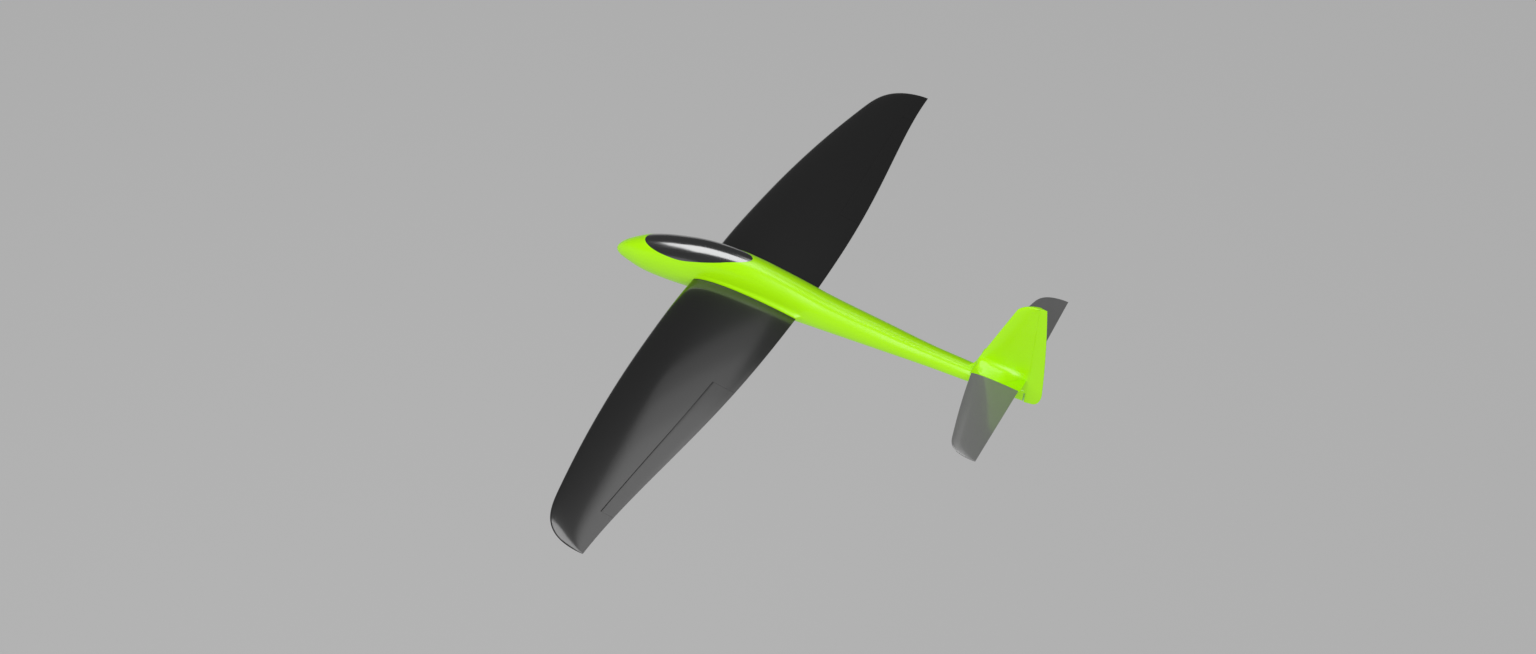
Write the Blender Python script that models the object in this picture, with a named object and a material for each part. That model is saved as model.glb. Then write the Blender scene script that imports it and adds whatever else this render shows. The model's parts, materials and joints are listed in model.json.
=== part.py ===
"""Radio controlled foam glider: pod-and-boom fuselage, plug-in wing panels and an all-moving tailplane.

Row frame: +X aft, +Y starboard, +Z up, metres. Its origin is under the middle of the bounding box, on the
plane the belly skid rests on. Every shape is drawn in the airframe frame, whose origin lies in the wing's
chord plane on the centreline; the empty "airframe_datum" carries that frame to its place in the row frame.
"""

import math

import bmesh
import bpy
import numpy as np
from mathutils import Matrix, Vector

MM = 0.001

# ---- driving dimensions, millimetres in the airframe frame --------------------------------------
SEMI_SPAN = 550.0
WING_ROOT_Y = 31.0
WING_THICKNESS = (0.095, 0.080)
WING_CAMBER = 0.018
TRAILING_EDGE = 0.8
# leading edge control points: (chordwise place, share of the semi-span)
LEADING_EDGE = ((-33.5, 0.050), (-35.6, 0.138), (-32.3, 0.281), (-25.7, 0.458),
                (-11.9, 0.657), (9.0, 0.853), (28.6, 1.0), (97.0, 1.0))
# trailing edge polynomial in (1 - span share)
TRAILING_CURVE = (99.5, 6.4, 245.0, -330.9, 126.6)

# fuselage stations: place along X, top, bottom, half width
FUSELAGE = ((-192.5, -28.0, -29.0, 0.8), (-184.3, -13.5, -36.5, 9.7), (-165.0, 2.2, -41.0, 16.8),
            (-132.0, 21.5, -45.1, 25.0), (-82.5, 40.2, -44.5, 29.2), (-16.5, 55.6, -39.0, 30.0),
            (55.0, 57.2, -34.0, 28.2), (121.0, 47.3, -28.6, 26.2), (187.0, 34.7, -24.6, 24.0),
            (275.0, 23.7, -20.9, 20.1), (357.5, 14.6, -18.6, 15.6), (429.0, 10.6, -17.8, 13.2),
            (468.0, 8.0, -18.8, 9.5), (506.2, 4.8, -20.7, 4.2))
SHELL_WALL = 3.0
SECTION_POWER = 2.15
JOINT_GAP = 0.3

# root fairing sections: distance inboard of the root plane, growth
FAIRING_SECTIONS = ((11.0, 5.0), (6.0, 2.2), (2.5, 0.8), (0.3, 0.0))

# canopy seam seen from the side: place along X, height
CANOPY_SEAM = ((-160.0, 18.6), (-137.5, 19.2), (-92.0, 20.8), (-61.6, 24.6), (-27.0, 34.8),
               (2.2, 44.2), (24.8, 51.4), (48.4, 56.2), (66.0, 58.6), (80.0, 60.2))
CANOPY_WALL = 2.0
CANOPY_PIVOT = (-40.0, 0.0, 30.0)

# ailerons
AILERON_SPAN = (205.0, 480.0)
AILERON_HINGE_X = (102.0, 84.0)
AILERON_GAP = 0.5
AILERON_END_GAP = 0.8

# fin and rudder outline, seen from the side
FIN_BASE = (418.0, 0.0)
FIN_SHOULDER = (476.0, 153.0)
FIN_TOP = (519.0, 172.6)
FIN_HEEL = (532.6, 4.0)
FIN_BULGE = 1.8
FIN_TOP_CORNER = 26.0
FIN_HEEL_CORNER = 13.0
FIN_THICKNESS = 9.0
FIN_TOP_THICKNESS = 5.0
FIN_FOOT = -20.8
RUDDER_HINGE_X = 509.5
RUDDER_GAP = 0.5

# tailplane, its stubs on the fin and its pivot
STAB_Z = 25.5
STAB_ROOT_Y = 27.0
STAB_SEMI_SPAN = 175.4
STAB_THICKNESS = 0.085
STAB_TRAILING_X = 505.0
STAB_LEADING = ((431.0, 0.154), (435.0, 0.300), (443.5, 0.560), (455.0, 0.830), (462.0, 1.0), (499.0, 1.0))
STAB_PIVOT_X = 457.0
STAB_TAPER = 3.0
PIVOT_RADIUS = 1.4
PIVOT_GAP = 0.2
PIVOT_REACH = 48.0
STUB_LEADING_X = 429.0
STUB_TRAILING_X = 507.0
# stub sections: distance from the centreline, growth
STUB_SECTIONS = ((5.0, 5.0), (16.0, 1.0), (STAB_ROOT_Y - JOINT_GAP, 0.0))

# linkages
AILERON_ARM = 9.0
AILERON_LINK = 36.0
AILERON_SERVO_Y = 232.0
RUDDER_ARM = 10.0
RUDDER_ROD_Z = -6.0
ELEVATOR_ARM = 23.0
SERVO_X = 92.0
ROD_RADIUS = 0.8
ARM_THICKNESS = 1.6
ROD_SIDE_GAP = 0.5
ROD_WALL_GAP = 1.2
ROD_SLOT_HALF = 3.0
ROD_SLOT_INBOARD = 3.6
ROD_END = 2.0
SERVO_SIZE = (20.0, 12.0, 12.0)
SERVO_SHAFT_INSET = 6.0
SERVO_DECK_GAP = 1.0
WING_SERVO_SIZE = (20.0, 8.0, 8.0)
WING_SERVO_SHAFT_INSET = 5.0
WING_SERVO_TOP = 3.4
WELL_GAP = 0.6
CRANK_SLOT = (10.4, 3.0)
CRANK_SLOT_BELOW = 6.0
CRANK_SLOT_ABOVE = 5.0
COVER_HALF_SIZE = (15.0, 11.5)
COVER_SLOT_HALF_SIZE = (7.6, 2.2)
COVER_THICKNESS = 0.9

# wing joiner and spar
JOINER_X = 24.0
JOINER_Z = 2.4
JOINER_RADIUS = 4.0
JOINER_HALF_LENGTH = 104.0
SLEEVE_PAST_JOINER = 8.0
BORE_START_Y = 10.0
SLEEVE_WALL = 0.8
BORE_GAP = 0.3
SPAR_X = 46.0
SPAR_RADIUS = 1.6
SPAR_END_Y = 395.0
ROOT_RIB = 1.6

# equipment
TRAY_WIDTH = 24.0
TRAY_THICKNESS = 1.6
TRAY_START_X = -122.0
TRAY_TOP_Z = -26.0
BATTERY_SIZE = (62.0, 22.0, 18.0)
RECEIVER_SIZE = (32.0, 18.0, 10.0)
PACK_MARGIN = 4.0
PACK_SPACING = 8.0
STRAP_WIDTH = 12.0
STRAP_THICKNESS = 1.2
BALLAST_RADIUS = 8.0
BALLAST_LENGTH = 16.0
SKID_SIZE = (64.0, 20.0)
SKID_DEPTH = 1.0
SKID_X = -108.0
SKID_RISE = 8.0

NOSE_X = FUSELAGE[0][0]
BELLY_Z = min(station[2] for station in FUSELAGE)
SKID_Z = BELLY_Z - SKID_DEPTH
DATUM = Vector((-(NOSE_X + FIN_HEEL[0]) / 2, 0.0, -SKID_Z)) * MM

# colours, linear RGB
GREEN = (0.40, 0.92, 0.0)
CHARCOAL = (0.022, 0.022, 0.023)
GREY = (0.13, 0.13, 0.13)


# ---- scene and material helpers -----------------------------------------------------------------
def clear_scene():
    """Remove every object the file opened with."""
    for item in list(bpy.data.objects):
        bpy.data.objects.remove(item, do_unlink=True)


def new_collection(name):
    """Make a collection under the scene."""
    group = bpy.data.collections.new(name)
    bpy.context.scene.collection.children.link(group)
    return group


def make_material(name, colour, roughness=0.4, metallic=0.0):
    """A Principled material for one piece."""
    material = bpy.data.materials.new(name)
    material.use_nodes = True
    shader = material.node_tree.nodes["Principled BSDF"]
    shader.inputs["Base Color"].default_value = (*colour, 1.0)
    shader.inputs["Roughness"].default_value = roughness
    shader.inputs["Metallic"].default_value = metallic
    return material


def add_object(name, mesh, look=None, pivot=(0, 0, 0)):
    """Place a mesh drawn in airframe millimetres, with the object's origin at pivot."""
    shift = Matrix.Translation(-Vector(pivot))
    mesh.transform(Matrix.Scale(MM, 4) @ shift)
    item = bpy.data.objects.new(name, mesh)
    item.location = Vector(pivot) * MM
    item.parent = AIRFRAME
    if look:
        PARTS.objects.link(item)
        mesh.materials.append(make_material(name, *look))
    else:
        CUTTERS.objects.link(item)
        item.hide_render = True
        item.display_type = "WIRE"
    return item


def combine(target, other, operation="DIFFERENCE"):
    """Cut target by other, or join or intersect them, with an exact Boolean."""
    modifier = target.modifiers.new(operation.title(), "BOOLEAN")
    modifier.operation = operation
    modifier.solver = "EXACT"
    modifier.object = other
    return target


def finish_mesh(name, work, smooth_angle=None):
    """Turn a bmesh into a mesh whose faces point out."""
    bmesh.ops.recalc_face_normals(work, faces=work.faces)
    mesh = bpy.data.meshes.new(name)
    work.to_mesh(mesh)
    work.free()
    if smooth_angle:
        mesh.shade_smooth()
        mesh.set_sharp_from_angle(angle=math.radians(smooth_angle))
    return mesh


# ---- shape helpers ------------------------------------------------------------------------------
def loft(name, rings, smooth_angle=40):
    """Skin closed rings that have the same number of points, and cap both ends."""
    work = bmesh.new()
    rows = [[work.verts.new(point) for point in ring] for ring in rings]
    count = len(rings[0])
    for first, second in zip(rows, rows[1:]):
        for i in range(count):
            j = (i + 1) % count
            work.faces.new((first[i], first[j], second[j], second[i]))
    work.faces.new(rows[0])
    work.faces.new(rows[-1])
    return finish_mesh(name, work, smooth_angle)


def box(name, low, high, turn=None):
    """A box between two corners, optionally moved by a matrix."""
    work = bmesh.new()
    size = [b - a for a, b in zip(low, high)]
    centre = [(a + b) / 2 for a, b in zip(low, high)]
    place = Matrix.Translation(centre) @ Matrix.Diagonal((*size, 1.0))
    if turn:
        place = turn @ place
    bmesh.ops.create_cube(work, size=1.0, matrix=place)
    return finish_mesh(name, work)


def rod(name, start, end, radius, sides=16):
    """A solid round bar between two points."""
    work = bmesh.new()
    along = Vector(end) - Vector(start)
    place = Matrix.Translation((Vector(start) + Vector(end)) / 2)
    place = place @ along.to_track_quat("Z", "Y").to_matrix().to_4x4()
    bmesh.ops.create_cone(work, cap_ends=True, segments=sides, radius1=radius, radius2=radius,
                          depth=along.length, matrix=place)
    return finish_mesh(name, work, 40)


def plate(name, outline, low, high, normal="Y", turn=None):
    """A flat plate: an outline in the plane across normal, between two offsets along it."""
    def point(u, v, offset):
        return {"Y": (u, offset, v), "Z": (u, v, offset)}[normal]
    work = bmesh.new()
    rows = [[work.verts.new(point(u, v, offset)) for u, v in outline] for offset in (low, high)]
    for i in range(len(outline)):
        j = (i + 1) % len(outline)
        work.faces.new((rows[0][i], rows[0][j], rows[1][j], rows[1][i]))
    work.faces.new(rows[0])
    work.faces.new(rows[1])
    if turn:
        work.transform(turn)
    return finish_mesh(name, work)


def link_outline(start, end, radius, steps=6):
    """Outline of a flat lever with round ends, from start to end."""
    along = math.atan2(end[1] - start[1], end[0] - start[0])
    points = []
    for centre, begin in ((start, along + math.pi / 2), (end, along - math.pi / 2)):
        for i in range(steps + 1):
            angle = begin + math.pi * i / steps
            points.append((centre[0] + radius * math.cos(angle), centre[1] + radius * math.sin(angle)))
    return points


def hermite(knots, values, place):
    """Smooth curve through knots, with slopes from the neighbours' differences."""
    knots = np.asarray(knots, dtype=float)
    values = np.asarray(values, dtype=float)
    steps = np.diff(knots)
    rises = np.diff(values) / steps
    slopes = np.concatenate(([rises[0]], (rises[:-1] * steps[1:] + rises[1:] * steps[:-1])
                             / (steps[1:] + steps[:-1]), [rises[-1]]))
    i = int(np.clip(np.searchsorted(knots, place) - 1, 0, len(steps) - 1))
    t = (place - knots[i]) / steps[i]
    start = (1 + 2 * t) * (1 - t) ** 2 * values[i] + t * (1 - t) ** 2 * steps[i] * slopes[i]
    end = t * t * (3 - 2 * t) * values[i + 1] + t * t * (t - 1) * steps[i] * slopes[i + 1]
    return float(start + end)


def b_spline(points, u, degree=3):
    """Point at share u along a clamped uniform B-spline."""
    spans = len(points) - degree
    knots = [0.0] * degree + [i / spans for i in range(spans + 1)] + [1.0] * degree
    k = min(degree + int(u * spans), len(points) - 1)
    work = [Vector(points[j]) for j in range(k - degree, k + 1)]
    for level in range(1, degree + 1):
        for j in range(degree, level - 1, -1):
            low = knots[j + k - degree]
            share = (u - low) / (knots[j + 1 + k - level] - low)
            work[j] = work[j - 1].lerp(work[j], share)
    return work[degree]


def section_half(share, thickness, chord, edge):
    """Half thickness of the aerofoil at a share of its chord."""
    curve = (0.2969 * math.sqrt(share) - 0.1260 * share - 0.3516 * share ** 2
             + 0.2843 * share ** 3 - 0.1036 * share ** 4)
    return 5 * thickness * curve * chord + edge / 2 * share


def camber_line(share, camber, chord):
    """Height of the mean line at a share of the chord."""
    peak = 0.4
    if share < peak:
        return camber * chord * (2 * peak * share - share ** 2) / peak ** 2
    return camber * chord * (1 - 2 * peak + 2 * peak * share - share ** 2) / (1 - peak) ** 2


def aerofoil(leading, trailing, thickness, camber=0.0, edge=TRAILING_EDGE, steps=13, start=0.0):
    """Section outline as (x, z) pairs: over the top from the trailing edge, back along the bottom."""
    chord = trailing - leading
    edge = min(edge, 0.05 * chord)
    shares = [start + (1 - start) * (1 - math.cos(math.pi * i / steps)) / 2 for i in range(steps + 1)]
    upper = []
    lower = []
    for share in shares:
        half = section_half(share, thickness, chord, edge)
        middle = camber_line(share, camber, chord)
        upper.append((leading + share * chord, middle + half))
        lower.append((leading + share * chord, middle - half))
    return upper[::-1] + (lower[1:] if start == 0.0 else lower)


# ---- fuselage -----------------------------------------------------------------------------------
def fuselage_at(x):
    """Top, bottom and half width of the fuselage at a place along X."""
    shares = [math.sqrt(station[0] - NOSE_X) for station in FUSELAGE]
    place = math.sqrt(max(x - NOSE_X, 0.0))
    return tuple(hermite(shares, [station[k] for station in FUSELAGE], place) for k in (1, 2, 3))


def fuselage_stations():
    """Places along X where the fuselage has a section, closer together at the nose."""
    nose = [NOSE_X + 1.2 * i ** 2 for i in range(6)]
    body_start = nose[-1] + 14.0
    tail = FUSELAGE[-1][0]
    count = 26
    return nose + [body_start + (tail - body_start) * i / count for i in range(count + 1)]


def half_arc(x, offset, steps=12):
    """Starboard half of the fuselage section from top to bottom, moved out by offset."""
    top, bottom, width = fuselage_at(x)
    middle = bottom + 0.47 * (top - bottom)
    scale_y = max(width + offset, 0.3 * width)
    up = max(top + offset - middle, 0.3 * (top - middle))
    down = max(middle - bottom + offset, 0.3 * (middle - bottom))
    points = []
    for i in range(steps + 1):
        angle = math.pi * i / steps
        y = scale_y * abs(math.sin(angle)) ** (2 / SECTION_POWER)
        rise = abs(math.cos(angle)) ** (2 / SECTION_POWER)
        points.append((x, y, middle + (up if i <= steps / 2 else -down) * rise))
    return points


def half_shell(name, side):
    """One moulded half of the fuselage: a C-shaped section along the whole length."""
    rim = JOINT_GAP / 2
    rings = []
    for x in fuselage_stations():
        outer = half_arc(x, 0.0)
        inner = half_arc(x, -SHELL_WALL)
        ring = outer + inner[::-1]
        rings.append([(px, side * max(py, rim), pz) for px, py, pz in ring])
    return loft(name, rings)


def full_body(name, offset, first=0):
    """The closed outer form of the fuselage, grown or shrunk by offset."""
    rings = []
    for x in fuselage_stations()[first:]:
        arc = half_arc(x, offset)
        rings.append(arc + [(px, -py, pz) for px, py, pz in arc[-2:0:-1]])
    return loft(name, rings)


def above_seam(name, lift, half_width=45.0):
    """The space over the canopy seam, as a block whose lower face follows the seam."""
    xs = [point[0] for point in CANOPY_SEAM]
    zs = [point[1] for point in CANOPY_SEAM]
    outline = []
    steps = 30
    for i in range(steps + 1):
        x = xs[0] + (xs[-1] - xs[0]) * i / steps
        outline.append((x, hermite(xs, zs, x) + lift))
    outline += [(xs[-1], 90.0), (xs[0], 90.0)]
    return plate(name, outline, -half_width, half_width)


def root_fairing(name, side):
    """The wing root stub that blends the panel's section into the pod."""
    leading, trailing, thickness = wing_section(WING_ROOT_Y)
    rings = []
    for inboard, grow in FAIRING_SECTIONS:
        outline = aerofoil(leading - grow, trailing + grow, thickness, WING_CAMBER)
        y = side * (WING_ROOT_Y - inboard)
        rings.append([(x, y, z * (1 + 0.12 * grow)) for x, z in outline])
    return loft(name, rings)


def rod_slot_start():
    """Place along X where the boom grows too narrow to hold the rudder pushrod inside its wall."""
    x = SERVO_X
    while fuselage_at(x)[2] - SHELL_WALL > RUDDER_ARM + ROD_RADIUS + ROD_WALL_GAP:
        x += 2.0
    return x


def rod_slot():
    """Cutter for the slot in the starboard shell that the rudder pushrod leaves through."""
    low = (rod_slot_start(), RUDDER_ARM - ROD_SLOT_INBOARD, RUDDER_ROD_Z - ROD_SLOT_HALF)
    high = (RUDDER_HINGE_X + 3.0, 2.4 * RUDDER_ARM, RUDDER_ROD_Z + ROD_SLOT_HALF)
    return box("slot", low, high)


def build_fuselage():
    """Both moulded halves, with their openings, and the canopy over the bay."""
    look = (GREEN, 0.25)
    for label, side in (("left", -1), ("right", 1)):
        shell = add_object(f"fuselage_{label}_shell", half_shell("shell", side), look)
        combine(shell, add_object(f"fairing_{label}", root_fairing("fairing", side)), "UNION")
        combine(shell, SHARED["bay_cut"])
        if side > 0:
            combine(shell, add_object("rudder_rod_slot", rod_slot()))
        combine(shell, SHARED["joiner_cut"])
        combine(shell, SHARED["crank_cut"])
    bubble = add_object("canopy", full_body("canopy", 0.0), ((0.02, 0.02, 0.022), 0.08),
                        CANOPY_PIVOT)
    combine(bubble, add_object("canopy_inner", full_body("inner", -CANOPY_WALL, 1)))
    combine(bubble, add_object("canopy_space", above_seam("space", JOINT_GAP / 2)), "INTERSECT")


def build_skid():
    """A flat wear plate under the pod, shaped to the belly."""
    length, width = SKID_SIZE
    low = (SKID_X - length / 2, -width / 2, SKID_Z)
    high = (SKID_X + length / 2, width / 2, SKID_Z + SKID_RISE)
    mesh = box("skid", low, high)
    skid = add_object("belly_skid", mesh, ((0.015, 0.015, 0.015), 0.6))
    combine(skid, add_object("belly_form", full_body("belly", JOINT_GAP)))


# ---- wing ---------------------------------------------------------------------------------------
def wing_trailing(y):
    """Place of the wing's trailing edge at a distance from the centreline."""
    share = 1 - y / SEMI_SPAN
    return sum(value * share ** power for power, value in enumerate(TRAILING_CURVE))


def wing_leading_point(u):
    """A point of the leading edge: place along X and distance from the centreline."""
    points = [(x, share * SEMI_SPAN) for x, share in LEADING_EDGE]
    return b_spline(points, u)


def wing_section(y):
    """Leading edge, trailing edge and thickness ratio at a distance from the centreline."""
    low, high = 0.0, 1.0
    for _ in range(40):
        middle = (low + high) / 2
        if wing_leading_point(middle)[1] < y:
            low = middle
        else:
            high = middle
    share = y / SEMI_SPAN
    thickness = WING_THICKNESS[0] + (WING_THICKNESS[1] - WING_THICKNESS[0]) * share
    return wing_leading_point(low)[0], wing_trailing(y), thickness


def wing_stations():
    """Distances from the centreline where the panel has a section, closer together at the tip."""
    inner = [WING_ROOT_Y + ROOT_RIB + JOINT_GAP, 60.0, 100.0, 150.0, 205.0, 250.0, 300.0, 345.0, 390.0, 430.0,
             465.0]
    tip = [SEMI_SPAN - 60.0 * (1 - i / 9) ** 2 - 0.12 for i in range(10)]
    return [y for y in inner if y < tip[0] - 8.0] + tip


def hinge_point(y):
    """Aileron hinge line: its place along X, its height and the nose radius there."""
    inner, outer = AILERON_SPAN
    x = AILERON_HINGE_X[0] + (AILERON_HINGE_X[1] - AILERON_HINGE_X[0]) * (y - inner) / (outer - inner)
    return x, *hinge_height(y, inner, outer)


def hinge_height(y, inner, outer):
    """Height and nose radius on the straight line between the hinge's two ends."""
    ends = []
    for place, x in ((inner, AILERON_HINGE_X[0]), (outer, AILERON_HINGE_X[1])):
        leading, trailing, thickness = wing_section(place)
        chord = trailing - leading
        share = (x - leading) / chord
        ends.append((camber_line(share, WING_CAMBER, chord),
                     section_half(share, thickness, chord, TRAILING_EDGE)))
    t = (y - inner) / (outer - inner)
    return tuple(a + (b - a) * t for a, b in zip(*ends))


def aileron_ring(y, side):
    """Aileron section: a round nose on the hinge line, then the wing's own surfaces."""
    x0, z0, radius = hinge_point(y)
    leading, trailing, thickness = wing_section(y)
    chord = trailing - leading
    nose = []
    for i in range(9):
        angle = math.pi / 2 + math.pi * i / 8
        nose.append((x0 + radius * math.cos(angle), z0 + radius * math.sin(angle)))
    tail = []
    for i in range(1, 6):
        x = x0 + (trailing - x0) * i / 5
        share = (x - leading) / chord
        tail.append((x, camber_line(share, WING_CAMBER, chord),
                     section_half(share, thickness, chord, min(TRAILING_EDGE, 0.05 * chord))))
    under = [(x, middle - min(half, radius)) for x, middle, half in tail]
    over = [(x, middle + min(half, radius)) for x, middle, half in reversed(tail)]
    return [(x, side * y, z) for x, z in nose + under + over]


def aileron_bay(name, side):
    """Space cut from the panel: a conical trough round the hinge line, open behind it."""
    inner, outer = AILERON_SPAN
    rings = []
    for y in (inner - AILERON_END_GAP, outer + AILERON_END_GAP):
        x0, z0, radius = hinge_point(y)
        radius += AILERON_GAP
        outline = [(x0 + 70.0, z0 + 30.0), (x0, z0 + 30.0)]
        for i in range(9):
            angle = math.pi / 2 + math.pi * i / 8
            outline.append((x0 + radius * math.cos(angle), z0 + radius * math.sin(angle)))
        outline += [(x0, z0 - 30.0), (x0 + 70.0, z0 - 30.0)]
        rings.append([(x, side * y, z) for x, z in outline])
    return loft(name, rings)


def hinge_frame(side):
    """Matrix of the aileron linkage: origin on the hinge line, local Y outboard along it."""
    y = AILERON_SERVO_Y
    x, z, _ = hinge_point(y)
    outer = hinge_point(AILERON_SPAN[1])
    start = Vector((x, side * y, z))
    along = (Vector((outer[0], side * AILERON_SPAN[1], outer[1])) - start).normalized()
    across = along.cross(Vector((0, 0, 1))).normalized()
    if across.x < 0:
        across = -across
    up = across.cross(along) if side > 0 else along.cross(across)
    frame = Matrix((across, along, up)).transposed().to_4x4()
    frame.translation = start
    return frame


def build_wing(label, side):
    """One panel with its root rib, spar, joiner sleeve, aileron and aileron linkage."""
    rings = []
    for y in wing_stations():
        leading, trailing, thickness = wing_section(y)
        rings.append([(x, side * y, z) for x, z in aerofoil(leading, trailing, thickness, WING_CAMBER)])
    panel = add_object(f"wing_panel_{label}", loft("panel", rings), (CHARCOAL, 0.35))
    leading, trailing, thickness = wing_section(WING_ROOT_Y)
    rib_rings = []
    for y in (WING_ROOT_Y, WING_ROOT_Y + ROOT_RIB):
        outline = aerofoil(leading, trailing, thickness, WING_CAMBER)
        rib_rings.append([(x, side * y, z) for x, z in outline])
    rib = add_object(f"root_rib_{label}", loft("rib", rib_rings), ((0.03, 0.03, 0.03), 0.5))
    combine(rib, SHARED["joiner_cut"])

    root = side * (WING_ROOT_Y + ROOT_RIB + JOINT_GAP)
    sleeve_end = side * (JOINER_HALF_LENGTH + SLEEVE_PAST_JOINER)
    sleeve_bore = JOINER_RADIUS + BORE_GAP
    sleeve_outer = sleeve_bore + SLEEVE_WALL
    sleeve = add_object(f"joiner_sleeve_{label}",
                        rod("sleeve", (JOINER_X, root, JOINER_Z), (JOINER_X, sleeve_end, JOINER_Z),
                            sleeve_outer, 20), ((0.55, 0.38, 0.12), 0.3, 1.0))
    combine(sleeve, SHARED["joiner_cut"])
    pocket = rod("pocket", (JOINER_X, side * BORE_START_Y, JOINER_Z), (JOINER_X, sleeve_end + side, JOINER_Z),
                 sleeve_outer + BORE_GAP, 20)
    combine(panel, add_object(f"sleeve_pocket_{label}", pocket))
    spar_end = side * SPAR_END_Y
    add_object(f"wing_spar_{label}",
               rod("spar", (SPAR_X, root, JOINER_Z), (SPAR_X, spar_end, JOINER_Z), SPAR_RADIUS, 10),
               ((0.01, 0.01, 0.01), 0.4))
    bore = rod("bore", (SPAR_X, side * BORE_START_Y, JOINER_Z), (SPAR_X, spar_end + side, JOINER_Z),
               SPAR_RADIUS + BORE_GAP, 10)
    combine(panel, add_object(f"spar_bore_{label}", bore))
    combine(panel, add_object(f"aileron_bay_{label}", aileron_bay("bay", side)))
    build_aileron(label, side, panel)


def build_aileron(label, side, panel):
    """The aileron with its horn, servo, arm, pushrod and servo cover."""
    inner, outer = AILERON_SPAN
    rings = [aileron_ring(inner + (outer - inner) * i / 10, side) for i in range(11)]
    frame = hinge_frame(side)
    pivot = frame.translation
    add_object(f"aileron_{label}", loft("aileron", rings), (CHARCOAL, 0.35), pivot)
    half = ARM_THICKNESS / 2
    radius = hinge_point(AILERON_SERVO_Y)[2]
    horn = [(1.0, -radius - 0.7), (9.0, -radius + 0.2), (9.0, -radius - 0.6), (2.4, -AILERON_ARM - 1.6),
            (-2.0, -AILERON_ARM - 1.6), (-2.2, -AILERON_ARM + 0.6)]
    add_object(f"aileron_horn_{label}", plate("horn", horn, -half, half, turn=frame),
               ((0.02, 0.02, 0.02), 0.5), pivot)
    servo_pivot = frame @ Vector((-AILERON_LINK, 0, 0))
    arm = link_outline((-AILERON_LINK, 0.0), (-AILERON_LINK, -AILERON_ARM), 2.0)
    add_object(f"aileron_servo_arm_{label}", plate("arm", arm, -half, half, turn=frame),
               ((0.7, 0.7, 0.68), 0.5), servo_pivot)
    rod_y = half + ROD_SIDE_GAP + ROD_RADIUS
    ends = [frame @ Vector((x, rod_y, -AILERON_ARM)) for x in (-AILERON_LINK - ROD_END, ROD_END)]
    add_object(f"aileron_pushrod_{label}", rod("rod", ends[0], ends[1], ROD_RADIUS, 8),
               ((0.5, 0.5, 0.5), 0.3, 1.0), ends[0])
    deck = -half - SERVO_DECK_GAP
    length, width, height = WING_SERVO_SIZE
    rear = WING_SERVO_SHAFT_INSET - AILERON_LINK
    low = (rear - length, deck - width, WING_SERVO_TOP - height)
    case = box("case", low, (rear, deck, WING_SERVO_TOP), turn=frame)
    add_object(f"aileron_servo_{label}", case, ((0.02, 0.03, 0.08), 0.4))
    well_low = (low[0] - WELL_GAP, low[1] - WELL_GAP, -20.0)
    well_high = (rear + 2 * WELL_GAP, rod_y + 2.0, WING_SERVO_TOP + WELL_GAP)
    combine(panel, add_object(f"servo_well_{label}", box("well", well_low, well_high, turn=frame)))
    add_object(f"aileron_servo_cover_{label}", servo_cover(side), ((0.02, 0.02, 0.02), 0.5))


def under_surface(x, y):
    """Height of the panel's lower surface."""
    leading, trailing, thickness = wing_section(abs(y))
    chord = trailing - leading
    share = min(max((x - leading) / chord, 0.0), 1.0)
    return camber_line(share, WING_CAMBER, chord) - section_half(share, thickness, chord, TRAILING_EDGE)


def servo_cover(side):
    """Thin plate laid over the servo well, with a slot that the arm passes through."""
    frame = hinge_frame(side)
    count = 24
    centre = -AILERON_LINK - 4.6
    outer = (*COVER_HALF_SIZE, 0.0, -3.2)
    slot = (*COVER_SLOT_HALF_SIZE, 4.6, 0.2)
    work = bmesh.new()
    rows = []
    for (size_u, size_v, shift_u, shift_v), drop in ((outer, JOINT_GAP), (outer, JOINT_GAP + COVER_THICKNESS),
                                                     (slot, JOINT_GAP + COVER_THICKNESS), (slot, JOINT_GAP)):
        row = []
        for i in range(count):
            angle = 2 * math.pi * i / count
            u = size_u * math.copysign(abs(math.cos(angle)) ** 0.35, math.cos(angle))
            v = size_v * math.copysign(abs(math.sin(angle)) ** 0.35, math.sin(angle))
            spot = frame @ Vector((centre + shift_u + u, shift_v + v, 0.0))
            row.append(work.verts.new((spot.x, spot.y, under_surface(spot.x, spot.y) - drop)))
        rows.append(row)
    for first, second in zip(rows, rows[1:] + rows[:1]):
        for i in range(count):
            j = (i + 1) % count
            work.faces.new((first[i], first[j], second[j], second[i]))
    return finish_mesh("cover", work)


# ---- tail ---------------------------------------------------------------------------------------
def fin_leading(z):
    """Place of the fin's leading edge at a height: straight, then a round top corner."""
    slope = (FIN_SHOULDER[0] - FIN_BASE[0]) / (FIN_SHOULDER[1] - FIN_BASE[1])
    x = FIN_BASE[0] + slope * (z - FIN_BASE[1])
    if z > FIN_SHOULDER[1]:
        share = (z - FIN_SHOULDER[1]) / (FIN_TOP[1] - FIN_SHOULDER[1])
        straight_top = FIN_BASE[0] + slope * (FIN_TOP[1] - FIN_BASE[1])
        corner = min(FIN_TOP_CORNER, RUDDER_HINGE_X - straight_top)
        x += corner * (1 - math.sqrt(max(1 - share ** 2, 0.0)))
    return x


def fin_trailing(z):
    """Place of the rudder's trailing edge at a height: leaning forward, with a round heel."""
    share = (z - FIN_HEEL[1]) / (FIN_TOP[1] - FIN_HEEL[1])
    x = FIN_HEEL[0] + (FIN_TOP[0] - FIN_HEEL[0]) * share + FIN_BULGE * max(4 * share * (1 - share), 0.0)
    if z < FIN_HEEL[1]:
        drop = (FIN_HEEL[1] - z) / (FIN_HEEL[1] - FIN_FOOT)
        x = FIN_HEEL[0] - FIN_HEEL_CORNER * (1 - math.sqrt(max(1 - drop ** 2, 0.0)))
    return x


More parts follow.
